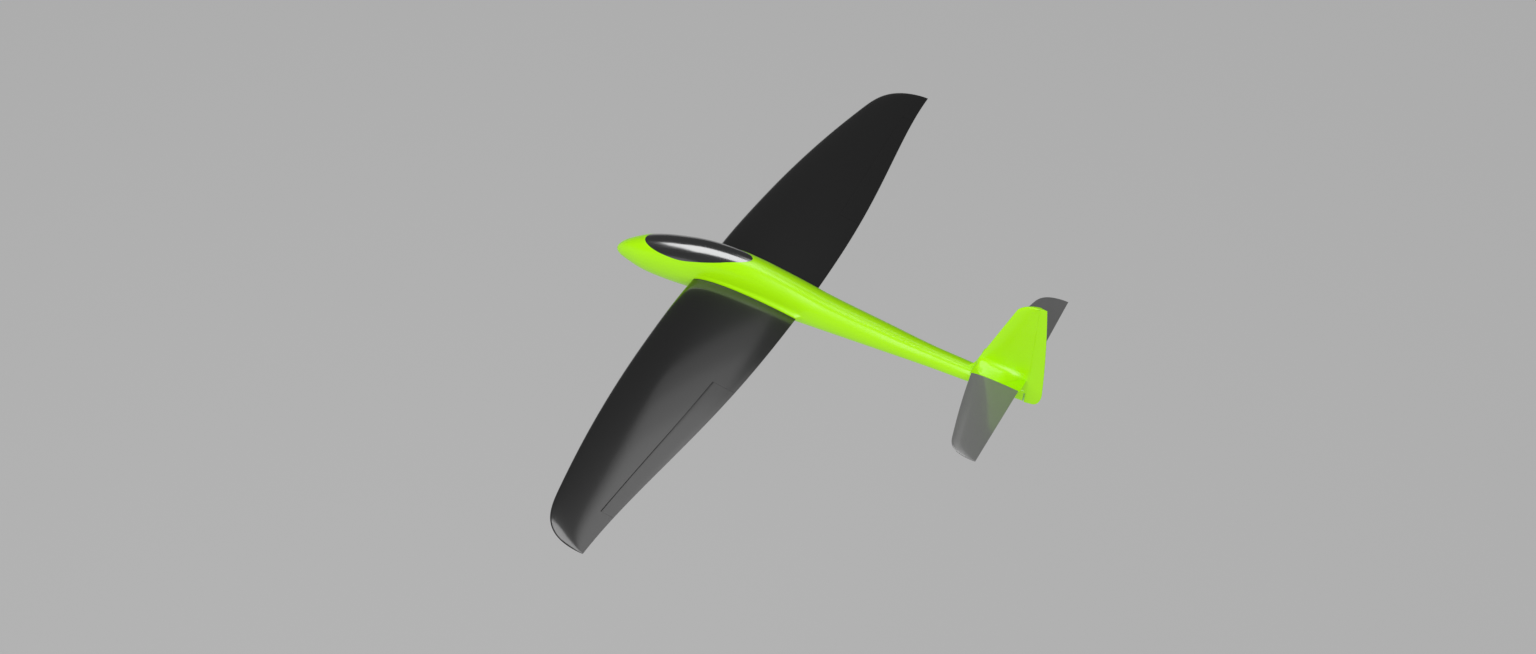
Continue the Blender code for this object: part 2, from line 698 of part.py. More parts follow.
def fin_half(x, z):
    """Half thickness of the fin and rudder together at a place."""
    leading = fin_leading(z)
    trailing = fin_trailing(z)
    chord = trailing - leading
    share = min(max((x - leading) / chord, 0.0), 1.0)
    share_up = max(z, 0.0) / FIN_TOP[1]
    thick = FIN_THICKNESS + (FIN_TOP_THICKNESS - FIN_THICKNESS) * share_up
    return section_half(share, thick / chord, chord, TRAILING_EDGE)


def rudder_radius(z):
    """Half thickness on the rudder's hinge line."""
    low = fin_half(RUDDER_HINGE_X, 0.0)
    high = fin_half(RUDDER_HINGE_X, FIN_TOP[1] - 20.0)
    return low + (high - low) * (z - FIN_FOOT) / (FIN_TOP[1] - FIN_FOOT)


def fin_heights(bottom):
    """Heights of the fin's sections, closer together at the round top."""
    straight = [bottom + (FIN_SHOULDER[1] - bottom) * i / 6 for i in range(7)]
    drop = FIN_TOP[1] - FIN_SHOULDER[1]
    return straight + [FIN_TOP[1] - drop * (1 - i / 5) ** 2 for i in range(1, 6)]


def build_fin():
    """The fixed fin with the tailplane stubs, seated on the boom."""
    rings = []
    for z in fin_heights(-2.0):
        leading = fin_leading(z)
        rear = RUDDER_HINGE_X + 6.0
        ring = []
        for i in range(13):
            x = leading + (rear - leading) * (1 - math.cos(math.pi * i / 24))
            ring.append((x, fin_half(x, z), z))
        rings.append([(x, y, zz) for x, y, zz in reversed(ring)] + [(x, -y, zz) for x, y, zz in ring[1:]])
    fin = add_object("tail_fin", loft("fin", rings), (GREEN, 0.25))
    stub_rings = []
    for y, grow in [(-y, grow) for y, grow in reversed(STUB_SECTIONS)] + list(STUB_SECTIONS):
        outline = aerofoil(STUB_LEADING_X - grow, STUB_TRAILING_X, STAB_THICKNESS)
        stub_rings.append([(x, y, STAB_Z + z * (1 + 0.08 * grow)) for x, z in outline])
    combine(fin, add_object("stab_stub", loft("stub", stub_rings)), "UNION")
    combine(fin, add_object("boom_seat", full_body("seat", JOINT_GAP)))
    combine(fin, add_object("rudder_bay", rudder_trough("bay")))
    combine(fin, SHARED["crank_cut"])
    combine(fin, SHARED["pivot_cut"])


def rudder_trough(name):
    """Space cut behind the fin: a cone round the rudder's hinge line, open behind it."""
    rings = []
    for z in (-30.0, FIN_TOP[1] + 10.0):
        radius = rudder_radius(z) + RUDDER_GAP
        outline = [(RUDDER_HINGE_X + 60.0, 30.0), (RUDDER_HINGE_X, 30.0)]
        for i in range(9):
            angle = math.pi / 2 + math.pi * i / 8
            outline.append((RUDDER_HINGE_X + radius * math.cos(angle), radius * math.sin(angle)))
        outline += [(RUDDER_HINGE_X, -30.0), (RUDDER_HINGE_X + 60.0, -30.0)]
        rings.append([(x, y, z) for x, y in outline])
    return loft(name, rings)


def build_rudder():
    """The rudder with its horn, and the servo, arm and pushrod that move it."""
    rings = []
    heights = [FIN_FOOT + 24.8 * (i / 4) ** 2 for i in range(4)]
    heights += [FIN_HEEL[1] + (FIN_TOP[1] - FIN_HEEL[1]) * i / 7 for i in range(8)]
    for z in heights:
        radius = rudder_radius(z)
        nose = []
        for i in range(9):
            angle = math.pi / 2 + math.pi * i / 8
            nose.append((RUDDER_HINGE_X + radius * math.cos(angle), radius * math.sin(angle)))
        tail = []
        trailing = fin_trailing(z)
        for i in range(1, 5):
            x = RUDDER_HINGE_X + (trailing - RUDDER_HINGE_X) * i / 4
            tail.append((x, radius + (TRAILING_EDGE / 2 - radius) * i / 4))
        ring = nose + [(x, -y) for x, y in tail] + [(x, y) for x, y in reversed(tail)]
        rings.append([(x, y, z) for x, y in ring])
    pivot = (RUDDER_HINGE_X, 0.0, 0.0)
    add_object("rudder", loft("rudder", rings), (GREEN, 0.25), pivot)

    half = ARM_THICKNESS / 2
    below = RUDDER_ROD_Z - ROD_RADIUS - ROD_SIDE_GAP
    low = below - ARM_THICKNESS
    radius = rudder_radius(below)
    hinge = RUDDER_HINGE_X
    horn = [(hinge + 1.0, radius + 0.3), (hinge + 9.0, radius + 0.1), (hinge + 9.0, radius + 0.6),
            (hinge + 2.2, RUDDER_ARM + 1.8), (hinge - 2.0, RUDDER_ARM + 1.8), (hinge - 2.0, RUDDER_ARM - 1.8)]
    add_object("rudder_horn", plate("horn", horn, low, below, "Z"), ((0.02, 0.02, 0.02), 0.5), pivot)
    arm = link_outline((SERVO_X, 0.0), (SERVO_X, RUDDER_ARM), 2.2)
    add_object("rudder_servo_arm", plate("arm", arm, low, below, "Z"), ((0.7, 0.7, 0.68), 0.5),
               (SERVO_X, 0.0, low))
    add_object("rudder_pushrod", rod("rod", (SERVO_X - ROD_END, RUDDER_ARM, RUDDER_ROD_Z),
                                     (hinge + ROD_END, RUDDER_ARM, RUDDER_ROD_Z), ROD_RADIUS, 8),
               ((0.02, 0.02, 0.02), 0.4), (SERVO_X, RUDDER_ARM, RUDDER_ROD_Z))
    top = low - SERVO_DECK_GAP
    length, width, height = SERVO_SIZE
    front = SERVO_X - SERVO_SHAFT_INSET
    case = box("case", (front, -width / 2, top - height), (front + length, width / 2, top))
    add_object("rudder_servo", case, ((0.02, 0.03, 0.08), 0.4))


def build_tailplane():
    """Both stab halves on their pivot rod, the crank and the elevator linkage."""
    for label, side in (("left", -1), ("right", 1)):
        rings = []
        for i in range(13):
            u = i / 12
            points = [(x, share * STAB_SEMI_SPAN) for x, share in STAB_LEADING]
            leading, y = b_spline(points, u)
            trailing = STAB_TRAILING_X - STAB_TAPER * y / STAB_SEMI_SPAN
            outline = aerofoil(leading, trailing, STAB_THICKNESS, steps=9)
            rings.append([(x, side * y, STAB_Z + z) for x, z in outline])
        stab = add_object(f"stab_{label}", loft("stab", rings), (GREY, 0.4), (STAB_PIVOT_X, 0, STAB_Z))
        combine(stab, SHARED["pivot_cut"])
    reach = STAB_ROOT_Y + PIVOT_REACH
    add_object("stab_pivot_rod", rod("rod", (STAB_PIVOT_X, -reach, STAB_Z), (STAB_PIVOT_X, reach, STAB_Z),
                                     PIVOT_RADIUS, 12), ((0.4, 0.4, 0.4), 0.3, 1.0),
               (STAB_PIVOT_X, 0, STAB_Z))
    half = ARM_THICKNESS / 2
    hole = STAB_Z - ELEVATOR_ARM
    crank = add_object("tail_crank",
                       plate("crank", link_outline((STAB_PIVOT_X, STAB_Z), (STAB_PIVOT_X, hole), 3.4),
                             -half, half), ((0.7, 0.7, 0.68), 0.5), (STAB_PIVOT_X, 0, STAB_Z))
    combine(crank, SHARED["pivot_cut"])
    add_object("elevator_servo_arm",
               plate("arm", link_outline((SERVO_X, STAB_Z), (SERVO_X, hole), 2.4), -half, half),
               ((0.7, 0.7, 0.68), 0.5), (SERVO_X, 0, STAB_Z))
    y = half + ROD_SIDE_GAP + ROD_RADIUS
    add_object("elevator_pushrod", rod("rod", (SERVO_X - ROD_END, y, hole), (STAB_PIVOT_X + ROD_END, y, hole),
                                       ROD_RADIUS, 8), ((0.02, 0.02, 0.02), 0.4), (SERVO_X, y, hole))
    deck = -half - SERVO_DECK_GAP
    length, height, width = SERVO_SIZE
    front = SERVO_X - SERVO_SHAFT_INSET
    case = box("case", (front, deck - height, STAB_Z - width / 2), (front + length, deck, STAB_Z + width / 2))
    add_object("elevator_servo", case, ((0.02, 0.03, 0.08), 0.4))


# ---- equipment ----------------------------------------------------------------------------------
def build_equipment():
    """Tray, battery with its strap, receiver and nose ballast inside the pod."""
    lb, wb, hb = BATTERY_SIZE
    lr, wr, hr = RECEIVER_SIZE
    start = TRAY_START_X
    width = TRAY_WIDTH
    thick = TRAY_THICKNESS
    length = 2 * PACK_MARGIN + lb + PACK_SPACING + lr
    tray = box("tray", (start, -width / 2, TRAY_TOP_Z - thick), (start + length, width / 2, TRAY_TOP_Z))
    add_object("equipment_tray", tray, ((0.45, 0.32, 0.18), 0.7))
    floor = TRAY_TOP_Z + JOINT_GAP
    battery_x = start + PACK_MARGIN
    add_object("battery_pack", box("battery", (battery_x, -wb / 2, floor), (battery_x + lb, wb / 2, floor + hb)),
               ((0.02, 0.05, 0.2), 0.4))
    receiver_x = battery_x + lb + PACK_SPACING
    add_object("receiver", box("receiver", (receiver_x, -wr / 2, floor), (receiver_x + lr, wr / 2, floor + hr)),
               ((0.02, 0.02, 0.02), 0.5))
    centre = battery_x + lb / 2
    inside = (max(width, wb) / 2 + JOINT_GAP, TRAY_TOP_Z - thick - JOINT_GAP, floor + hb + JOINT_GAP)
    strap = add_object("battery_strap",
                       box("strap", (centre - STRAP_WIDTH / 2, -inside[0] - STRAP_THICKNESS,
                                     inside[1] - STRAP_THICKNESS),
                           (centre + STRAP_WIDTH / 2, inside[0] + STRAP_THICKNESS,
                            inside[2] + STRAP_THICKNESS)), ((0.02, 0.02, 0.02), 0.9))
    hollow = box("hollow", (centre - STRAP_WIDTH, -inside[0], inside[1]),
                 (centre + STRAP_WIDTH, inside[0], inside[2]))
    combine(strap, add_object("strap_hollow", hollow))
    ballast_end = start - PACK_MARGIN
    ballast_z = sum(fuselage_at(ballast_end - BALLAST_LENGTH / 2)[:2]) / 2
    add_object("nose_ballast", rod("ballast", (ballast_end - BALLAST_LENGTH, 0, ballast_z),
                                   (ballast_end, 0, ballast_z), BALLAST_RADIUS, 16),
               ((0.12, 0.12, 0.13), 0.4, 1.0))
    add_object("wing_joiner", rod("joiner", (JOINER_X, -JOINER_HALF_LENGTH, JOINER_Z),
                                  (JOINER_X, JOINER_HALF_LENGTH, JOINER_Z), JOINER_RADIUS, 20),
               ((0.01, 0.01, 0.01), 0.35))


def build_shared_cutters():
    """Cutters that several pieces take their holes from."""
    reach = JOINER_HALF_LENGTH + 2 * SLEEVE_PAST_JOINER
    SHARED["joiner_cut"] = add_object("joiner_cut", rod("cut", (JOINER_X, -reach, JOINER_Z),
                                                        (JOINER_X, reach, JOINER_Z),
                                                        JOINER_RADIUS + BORE_GAP, 20))
    SHARED["bay_cut"] = add_object("bay_cut", above_seam("bay", -JOINT_GAP / 2))
    length, width = CRANK_SLOT
    slot = box("crank", (STAB_PIVOT_X - length, -width, STAB_Z - ELEVATOR_ARM - CRANK_SLOT_BELOW),
               (STAB_PIVOT_X + length, width, STAB_Z + CRANK_SLOT_ABOVE))
    SHARED["crank_cut"] = add_object("crank_cut", slot)
    pivot_end = STAB_ROOT_Y + PIVOT_REACH + 2.0
    SHARED["pivot_cut"] = add_object("pivot_cut", rod("pivot", (STAB_PIVOT_X, -pivot_end, STAB_Z),
                                                      (STAB_PIVOT_X, pivot_end, STAB_Z),
                                                      PIVOT_RADIUS + PIVOT_GAP, 12))


SHARED = {}

clear_scene()
PARTS = new_collection("rc_foam_glider")
CUTTERS = new_collection("cutters")
AIRFRAME = bpy.data.objects.new("airframe_datum", None)
AIRFRAME.location = DATUM
CUTTERS.objects.link(AIRFRAME)

build_shared_cutters()
build_fuselage()
build_skid()
for wing_label, wing_side in (("left", -1), ("right", 1)):
    build_wing(wing_label, wing_side)
build_fin()
build_rudder()
build_tailplane()
build_equipment()
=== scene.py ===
"""Looks of the foam glider: fine skins over the airframe, procedural finishes, soft studio light.

Shapes are drawn in the airframe frame in millimetres (x aft, y starboard, z up, origin in the wing's chord
plane) and placed in the row frame by the Datum worked out from the wing joiner.
"""

from __future__ import annotations

import json
import logging
import math
from collections.abc import Callable, Iterable, Sequence
from dataclasses import dataclass, field
from enum import Enum

import bmesh
import bpy
import numpy as np
from mathutils import Matrix, Vector

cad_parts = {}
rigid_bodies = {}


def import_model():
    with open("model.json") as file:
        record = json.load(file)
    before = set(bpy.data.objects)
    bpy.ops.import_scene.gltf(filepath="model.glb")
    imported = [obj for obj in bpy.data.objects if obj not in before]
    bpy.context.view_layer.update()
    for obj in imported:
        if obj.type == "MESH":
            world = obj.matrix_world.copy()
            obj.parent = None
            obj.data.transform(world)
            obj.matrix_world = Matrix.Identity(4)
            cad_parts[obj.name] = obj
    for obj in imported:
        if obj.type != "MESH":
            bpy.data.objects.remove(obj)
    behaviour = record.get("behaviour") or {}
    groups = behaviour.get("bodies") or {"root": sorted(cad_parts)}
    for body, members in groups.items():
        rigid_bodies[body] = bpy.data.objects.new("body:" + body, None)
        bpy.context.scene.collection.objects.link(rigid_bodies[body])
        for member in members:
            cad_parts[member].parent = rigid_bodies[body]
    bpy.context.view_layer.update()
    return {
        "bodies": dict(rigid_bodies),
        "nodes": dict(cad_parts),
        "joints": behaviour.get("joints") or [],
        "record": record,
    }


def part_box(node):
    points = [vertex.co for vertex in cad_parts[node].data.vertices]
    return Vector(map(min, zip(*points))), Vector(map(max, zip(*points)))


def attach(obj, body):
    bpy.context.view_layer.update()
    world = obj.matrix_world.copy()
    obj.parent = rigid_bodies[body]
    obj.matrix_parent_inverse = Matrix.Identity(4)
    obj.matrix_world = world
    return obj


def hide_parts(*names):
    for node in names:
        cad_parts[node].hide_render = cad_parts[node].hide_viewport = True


LOG = logging.getLogger("glider")
MM = 0.001
WELD_DISTANCE = 0.00002
# centre of the wing joiner in airframe millimetres
JOINER_CENTRE = (24.0, 0.0, 2.4)
Point = tuple[float, float, float]
Ring = list[Point]


# ---- finishes -----------------------------------------------------------------------------------
class Pattern(Enum):
    """How the surface of a finish is broken up."""

    CELLS = "moulded foam cells"
    FILM = "stretched film"
    WEAVE = "woven fibre"
    GRAIN = "wood grain"
    DRAWN = "drawn metal"
    SPECKLE = "moulded plastic"


@dataclass(frozen=True)
class Finish:
    """One procedural finish.

    Attributes:
        name: material name.
        colour: main linear colour.
        shade: second linear colour that the pattern mixes in.
        roughness: middle of the roughness range.
        spread: half the roughness range.
        metallic: metallic value.
        coat: weight of the clear top coat.
        coat_roughness: roughness of the top coat.
        coat_ior: refractive index of the top coat.
        specular: strength of the main layer's own reflection.
        pattern: how the surface is broken up.
        scale: size of the pattern in cells per metre.
        relief: bump distance in metres.
    """

    name: str
    colour: Point
    shade: Point
    roughness: float = 0.4
    spread: float = 0.04
    metallic: float = 0.0
    coat: float = 0.0
    coat_roughness: float = 0.1
    coat_ior: float = 1.5
    specular: float = 0.5
    pattern: Pattern = Pattern.SPECKLE
    scale: float = 900.0
    relief: float = 0.00002

    def build(self) -> bpy.types.Material:
        """Make the node material.

        Returns:
            The finished material.
        """
        material = bpy.data.materials.new(self.name)
        material.use_nodes = True
        tree = material.node_tree
        shader = tree.nodes["Principled BSDF"]
        shader.inputs["Metallic"].default_value = self.metallic
        shader.inputs["Coat Weight"].default_value = self.coat
        shader.inputs["Coat Roughness"].default_value = self.coat_roughness
        shader.inputs["Coat IOR"].default_value = self.coat_ior
        shader.inputs["Specular IOR Level"].default_value = self.specular
        place = tree.nodes.new("ShaderNodeTexCoord").outputs["Object"]
        height = self._pattern(tree, place)
        drift = tree.nodes.new("ShaderNodeTexNoise")
        drift.inputs["Scale"].default_value = 14.0
        drift.inputs["Detail"].default_value = 3.0
        tree.links.new(place, drift.inputs["Vector"])
        blend = tree.nodes.new("ShaderNodeMath")
        blend.operation = "MULTIPLY"
        tree.links.new(height, blend.inputs[0])
        tree.links.new(drift.outputs["Fac"], blend.inputs[1])
        mix = tree.nodes.new("ShaderNodeMix")
        mix.data_type = "RGBA"
        mix.inputs["A"].default_value = (*self.colour, 1.0)
        mix.inputs["B"].default_value = (*self.shade, 1.0)
        tree.links.new(blend.outputs[0], mix.inputs["Factor"])
        tree.links.new(mix.outputs["Result"], shader.inputs["Base Color"])
        rough = tree.nodes.new("ShaderNodeMapRange")
        rough.inputs["To Min"].default_value = self.roughness - self.spread
        rough.inputs["To Max"].default_value = self.roughness + self.spread
        tree.links.new(drift.outputs["Fac"], rough.inputs["Value"])
        tree.links.new(rough.outputs["Result"], shader.inputs["Roughness"])
        bump = tree.nodes.new("ShaderNodeBump")
        bump.inputs["Distance"].default_value = self.relief
        bump.inputs["Strength"].default_value = 0.6
        tree.links.new(height, bump.inputs["Height"])
        tree.links.new(bump.outputs["Normal"], shader.inputs["Normal"])
        return material

    def _pattern(self, tree: bpy.types.NodeTree, place: bpy.types.NodeSocket) -> bpy.types.NodeSocket:
        """Add the pattern's nodes.

        Args:
            tree: the material's node tree.
            place: the coordinates the pattern reads.

        Returns:
            A socket from 0 to 1 that is the pattern's height.
        """
        stretch = {Pattern.FILM: (1.0, 0.12, 1.0), Pattern.DRAWN: (0.06, 1.0, 1.0),
                   Pattern.GRAIN: (0.08, 1.0, 1.0)}.get(self.pattern, (1.0, 1.0, 1.0))
        mapping = tree.nodes.new("ShaderNodeMapping")
        mapping.inputs["Scale"].default_value = stretch
        tree.links.new(place, mapping.inputs["Vector"])
        if self.pattern is Pattern.CELLS:
            cells = tree.nodes.new("ShaderNodeTexVoronoi")
            cells.feature = "SMOOTH_F1"
            cells.inputs["Scale"].default_value = self.scale
            tree.links.new(mapping.outputs["Vector"], cells.inputs["Vector"])
            return cells.outputs["Distance"]
        if self.pattern is Pattern.WEAVE:
            weave = tree.nodes.new("ShaderNodeTexChecker")
            turned = mapping.inputs["Rotation"]
            turned.default_value = (0.0, 0.0, math.radians(45))
            weave.inputs["Scale"].default_value = self.scale
            weave.inputs["Color1"].default_value = (1, 1, 1, 1)
            weave.inputs["Color2"].default_value = (0.2, 0.2, 0.2, 1)
            tree.links.new(mapping.outputs["Vector"], weave.inputs["Vector"])
            return weave.outputs["Fac"]
        noise = tree.nodes.new("ShaderNodeTexNoise")
        noise.inputs["Scale"].default_value = self.scale
        noise.inputs["Detail"].default_value = 4.0
        tree.links.new(mapping.outputs["Vector"], noise.inputs["Vector"])
        return noise.outputs["Fac"]


GREEN = Finish("lime_gloss", (0.43, 0.93, 0.0), (0.39, 0.86, 0.0), 0.24, 0.02, specular=0.5,
               pattern=Pattern.CELLS, scale=520.0, relief=0.000012)
CHARCOAL = Finish("charcoal_film", (0.008, 0.008, 0.008), (0.006, 0.006, 0.0063), 0.33, 0.02, coat=1.0,
                  coat_roughness=0.11, coat_ior=1.7, specular=0.35, pattern=Pattern.FILM, scale=240.0,
                  relief=0.000012)
GREY = Finish("grey_film", (0.175, 0.175, 0.175), (0.16, 0.16, 0.16), 0.33, 0.02, coat=1.0,
              coat_roughness=0.11, coat_ior=1.6, pattern=Pattern.FILM, scale=240.0, relief=0.000012)
CANOPY = Finish("canopy_gloss", (0.006, 0.006, 0.007), (0.010, 0.010, 0.010), 0.22, 0.02, coat=1.0,
                coat_roughness=0.16, coat_ior=2.5, specular=1.0, pattern=Pattern.SPECKLE, scale=60.0,
                relief=0.000004)
BLACK = Finish("black_moulding", (0.018, 0.018, 0.018), (0.035, 0.035, 0.035), 0.5, 0.06)
CARBON = Finish("carbon_fibre", (0.012, 0.012, 0.012), (0.05, 0.05, 0.052), 0.3, 0.04, coat=0.4,
                pattern=Pattern.WEAVE, scale=700.0)
SERVO = Finish("servo_case", (0.012, 0.02, 0.075), (0.02, 0.03, 0.1), 0.38, 0.05)
NYLON = Finish("white_nylon", (0.72, 0.72, 0.69), (0.6, 0.6, 0.57), 0.42, 0.05)
STEEL = Finish("steel_wire", (0.5, 0.5, 0.5), (0.38, 0.38, 0.38), 0.28, 0.06, 1.0, pattern=Pattern.DRAWN)
BRASS = Finish("brass_tube", (0.62, 0.42, 0.16), (0.5, 0.33, 0.12), 0.26, 0.06, 1.0, pattern=Pattern.DRAWN)
PLYWOOD = Finish("plywood", (0.52, 0.36, 0.19), (0.36, 0.22, 0.1), 0.65, 0.08, pattern=Pattern.GRAIN,
                 scale=380.0, relief=0.00006)
LEAD = Finish("ballast", (0.12, 0.12, 0.125), (0.07, 0.07, 0.075), 0.5, 0.1, 0.8, relief=0.00005)
WRAP = Finish("battery_wrap", (0.02, 0.07, 0.32), (0.03, 0.1, 0.42), 0.25, 0.04, coat=0.5, scale=160.0)
STRAP = Finish("hook_strap", (0.014, 0.014, 0.014), (0.05, 0.05, 0.05), 0.85, 0.05, pattern=Pattern.WEAVE,
               scale=1400.0, relief=0.0001)
SKID = Finish("skid_plate", (0.016, 0.016, 0.016), (0.045, 0.045, 0.045), 0.6, 0.08, pattern=Pattern.DRAWN,
              scale=500.0, relief=0.00004)


class Palette:
    """Builds each finish once and hands out the material."""

    def __init__(self) -> None:
        """Start with no materials."""
        self._made: dict[str, bpy.types.Material] = {}

    def get(self, finish: Finish) -> bpy.types.Material:
        """The material of a finish."""
        if finish.name not in self._made:
            self._made[finish.name] = finish.build()
        return self._made[finish.name]


# ---- mesh helpers -------------------------------------------------------------------------------
@dataclass
class Workshop:
    """Places airframe drawings in the row frame and turns them into pieces."""

    datum: Vector
    palette: Palette = field(default_factory=Palette)

    def point(self, x: float, y: float, z: float) -> Vector:
        """Row-frame place of a point given in airframe millimetres."""
        return Vector((x, y, z)) * MM + self.datum

    def mesh(self, name: str, work: bmesh.types.BMesh, sharp: float = 35.0) -> bpy.types.Object:
        """Turn airframe millimetres into an object at the row frame's origin.

        Args:
            name: object name.
            work: the drawing, which is freed.
            sharp: angle in degrees past which an edge stays sharp.

        Returns:
            The new object, linked to the scene.
        """
        bmesh.ops.recalc_face_normals(work, faces=work.faces)
        work.transform(Matrix.Translation(self.datum) @ Matrix.Scale(MM, 4))
        data = bpy.data.meshes.new(name)
        work.to_mesh(data)
        work.free()
        data.shade_smooth()
        data.set_sharp_from_angle(angle=math.radians(sharp))
        item = bpy.data.objects.new(name, data)
        bpy.context.scene.collection.objects.link(item)
        return item

    def loft(self, name: str, rings: Sequence[Ring], sharp: float = 35.0) -> bpy.types.Object:
        """Skin closed rings of equal length and cap both ends.

        Args:
            name: object name.
            rings: the sections, in order.
            sharp: angle past which an edge stays sharp.

        Returns:
            The closed object.
        """
        work = bmesh.new()
        rows = [[work.verts.new(point) for point in ring] for ring in rings]
        count = len(rings[0])
        for first, second in zip(rows, rows[1:]):
            for i in range(count):
                j = (i + 1) % count
                work.faces.new((first[i], first[j], second[j], second[i]))
        work.faces.new(rows[0])
        work.faces.new(rows[-1])
        return self.mesh(name, work, sharp)

    def bake(self, item: bpy.types.Object, sharp: float = 35.0) -> bpy.types.Object:
        """Apply the modifiers of an object to its mesh.

        Args:
            item: the object.
            sharp: angle in degrees past which an edge is marked sharp again.

        Returns:
            The same object without modifiers.
        """
        graph = bpy.context.evaluated_depsgraph_get()
        done = bpy.data.meshes.new_from_object(item.evaluated_get(graph), depsgraph=graph)
        item.modifiers.clear()
        item.data = done
        work = bmesh.new()
        work.from_mesh(done)
        bmesh.ops.remove_doubles(work, verts=work.verts, dist=WELD_DISTANCE)
        work.to_mesh(done)
        work.free()
        done.shade_smooth()
        done.set_sharp_from_angle(angle=math.radians(sharp))
        return item

    def combine(self, item: bpy.types.Object, other: bpy.types.Object,
                operation: str = "DIFFERENCE") -> bpy.types.Object:
        """Apply an exact Boolean.

        Args:
            item: the object to change.
            other: the second operand, which is removed afterwards.
            operation: DIFFERENCE, UNION or INTERSECT.

        Returns:
            The changed object.
        """
        modifier = item.modifiers.new("cut", "BOOLEAN")
        modifier.operation = operation
        modifier.solver = "EXACT"
        modifier.object = other
        self.bake(item)
        bpy.data.objects.remove(other)
        return item

    def bevel(self, item: bpy.types.Object, width: float, segments: int = 2) -> bpy.types.Object:
        """Round the sharp edges of a piece by a width in millimetres."""
        modifier = item.modifiers.new("edge", "BEVEL")
        modifier.width = width * MM
        modifier.segments = segments
        modifier.limit_method = "ANGLE"
        modifier.angle_limit = math.radians(40)
        return self.bake(item)

    def piece(self, item: bpy.types.Object, finish: Finish, body: str, slot: str,
              nodes: Iterable[str] = ()) -> bpy.types.Object:
        """Dress a piece and hang it on its body.

        Args:
            item: the finished object.
            finish: its finish.
            body: the CAD body it rides on.
            slot: the record's material slot; not used.
            nodes: CAD nodes that it stands for.

        Returns:
            The same object.
        """
        item.data.materials.clear()
        item.data.materials.append(self.palette.get(finish))
        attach(item, body)
        if nodes:
            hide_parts(*nodes)
        LOG.info("%s rides on %s with %s", item.name, body, finish.name)
        return item


def hermite(knots: Sequence[float], values: Sequence[float], place: float) -> float:
    """Smooth curve through knots.

    Args:
        knots: places, rising.
        values: value at each knot.
        place: where to read the curve.

    Returns:
        The value there.
    """
    xs = np.asarray(knots, dtype=float)
    ys = np.asarray(values, dtype=float)
    steps = np.diff(xs)
    rises = np.diff(ys) / steps
    inner = (rises[:-1] * steps[1:] + rises[1:] * steps[:-1]) / (steps[1:] + steps[:-1])
    slopes = np.concatenate(([rises[0]], inner, [rises[-1]]))
    i = int(np.clip(np.searchsorted(xs, place) - 1, 0, len(steps) - 1))
    t = (place - xs[i]) / steps[i]
    start = (1 + 2 * t) * (1 - t) ** 2 * ys[i] + t * (1 - t) ** 2 * steps[i] * slopes[i]
    end = t * t * (3 - 2 * t) * ys[i + 1] + t * t * (t - 1) * steps[i] * slopes[i + 1]
    return float(start + end)


def b_spline(points: Sequence[tuple[float, float]], u: float, degree: int = 3) -> Vector:
    """Point at share u along a clamped uniform B-spline.

    Args:
        points: control points.
        u: share from 0 to 1.
        degree: degree of the spline.

    Returns:
        The point.
    """
    spans = len(points) - degree
    knots = [0.0] * degree + [i / spans for i in range(spans + 1)] + [1.0] * degree
    k = min(degree + int(u * spans), len(points) - 1)
    work = [Vector(points[j]) for j in range(k - degree, k + 1)]
    for level in range(1, degree + 1):
        for j in range(degree, level - 1, -1):
            low = knots[j + k - degree]
            share = (u - low) / (knots[j + 1 + k - level] - low)
            work[j] = work[j - 1].lerp(work[j], share)
    return work[degree]


def arc(centre: tuple[float, float], radius: float, begin: float, sweep: float,
        steps: int) -> list[tuple[float, float]]:
    """Points along a circular arc, angles in radians."""
    return [(centre[0] + radius * math.cos(begin + sweep * i / steps),
             centre[1] + radius * math.sin(begin + sweep * i / steps)) for i in range(steps + 1)]


@dataclass(frozen=True)
class Aerofoil:
    """Section family shared by the wing, fin and tailplane."""

    camber: float = 0.0
    edge: float = 0.8
    peak: float = 0.4

    def half(self, share: float, thickness: float, chord: float) -> float:
        """Half thickness in millimetres at a share of the chord."""
        curve = (0.2969 * math.sqrt(share) - 0.1260 * share - 0.3516 * share ** 2
                 + 0.2843 * share ** 3 - 0.1036 * share ** 4)
        return 5 * thickness * curve * chord + min(self.edge, 0.05 * chord) / 2 * share

    def middle(self, share: float, chord: float) -> float:
        """Height of the mean line in millimetres at a share of the chord."""
        if share < self.peak:
            return self.camber * chord * (2 * self.peak * share - share ** 2) / self.peak ** 2
        rest = 1 - 2 * self.peak + 2 * self.peak * share - share ** 2
        return self.camber * chord * rest / (1 - self.peak) ** 2

    def outline(self, leading: float, trailing: float, thickness: float,
                steps: int = 34) -> list[tuple[float, float]]:
        """Closed outline from the trailing edge over the top and back along the bottom.

        Args:
            leading: place of the leading edge along X.
            trailing: place of the trailing edge along X.
            thickness: thickness ratio.
            steps: steps along each side.

        Returns:
            Points as (x, z).
        """
        chord = trailing - leading
        upper = []
        lower = []
        for i in range(steps + 1):
            share = (1 - math.cos(math.pi * i / steps)) / 2
            half = self.half(share, thickness, chord)
            middle = self.middle(share, chord)
            upper.append((leading + share * chord, middle + half))
            lower.append((leading + share * chord, middle - half))
        return upper[::-1] + lower[1:]


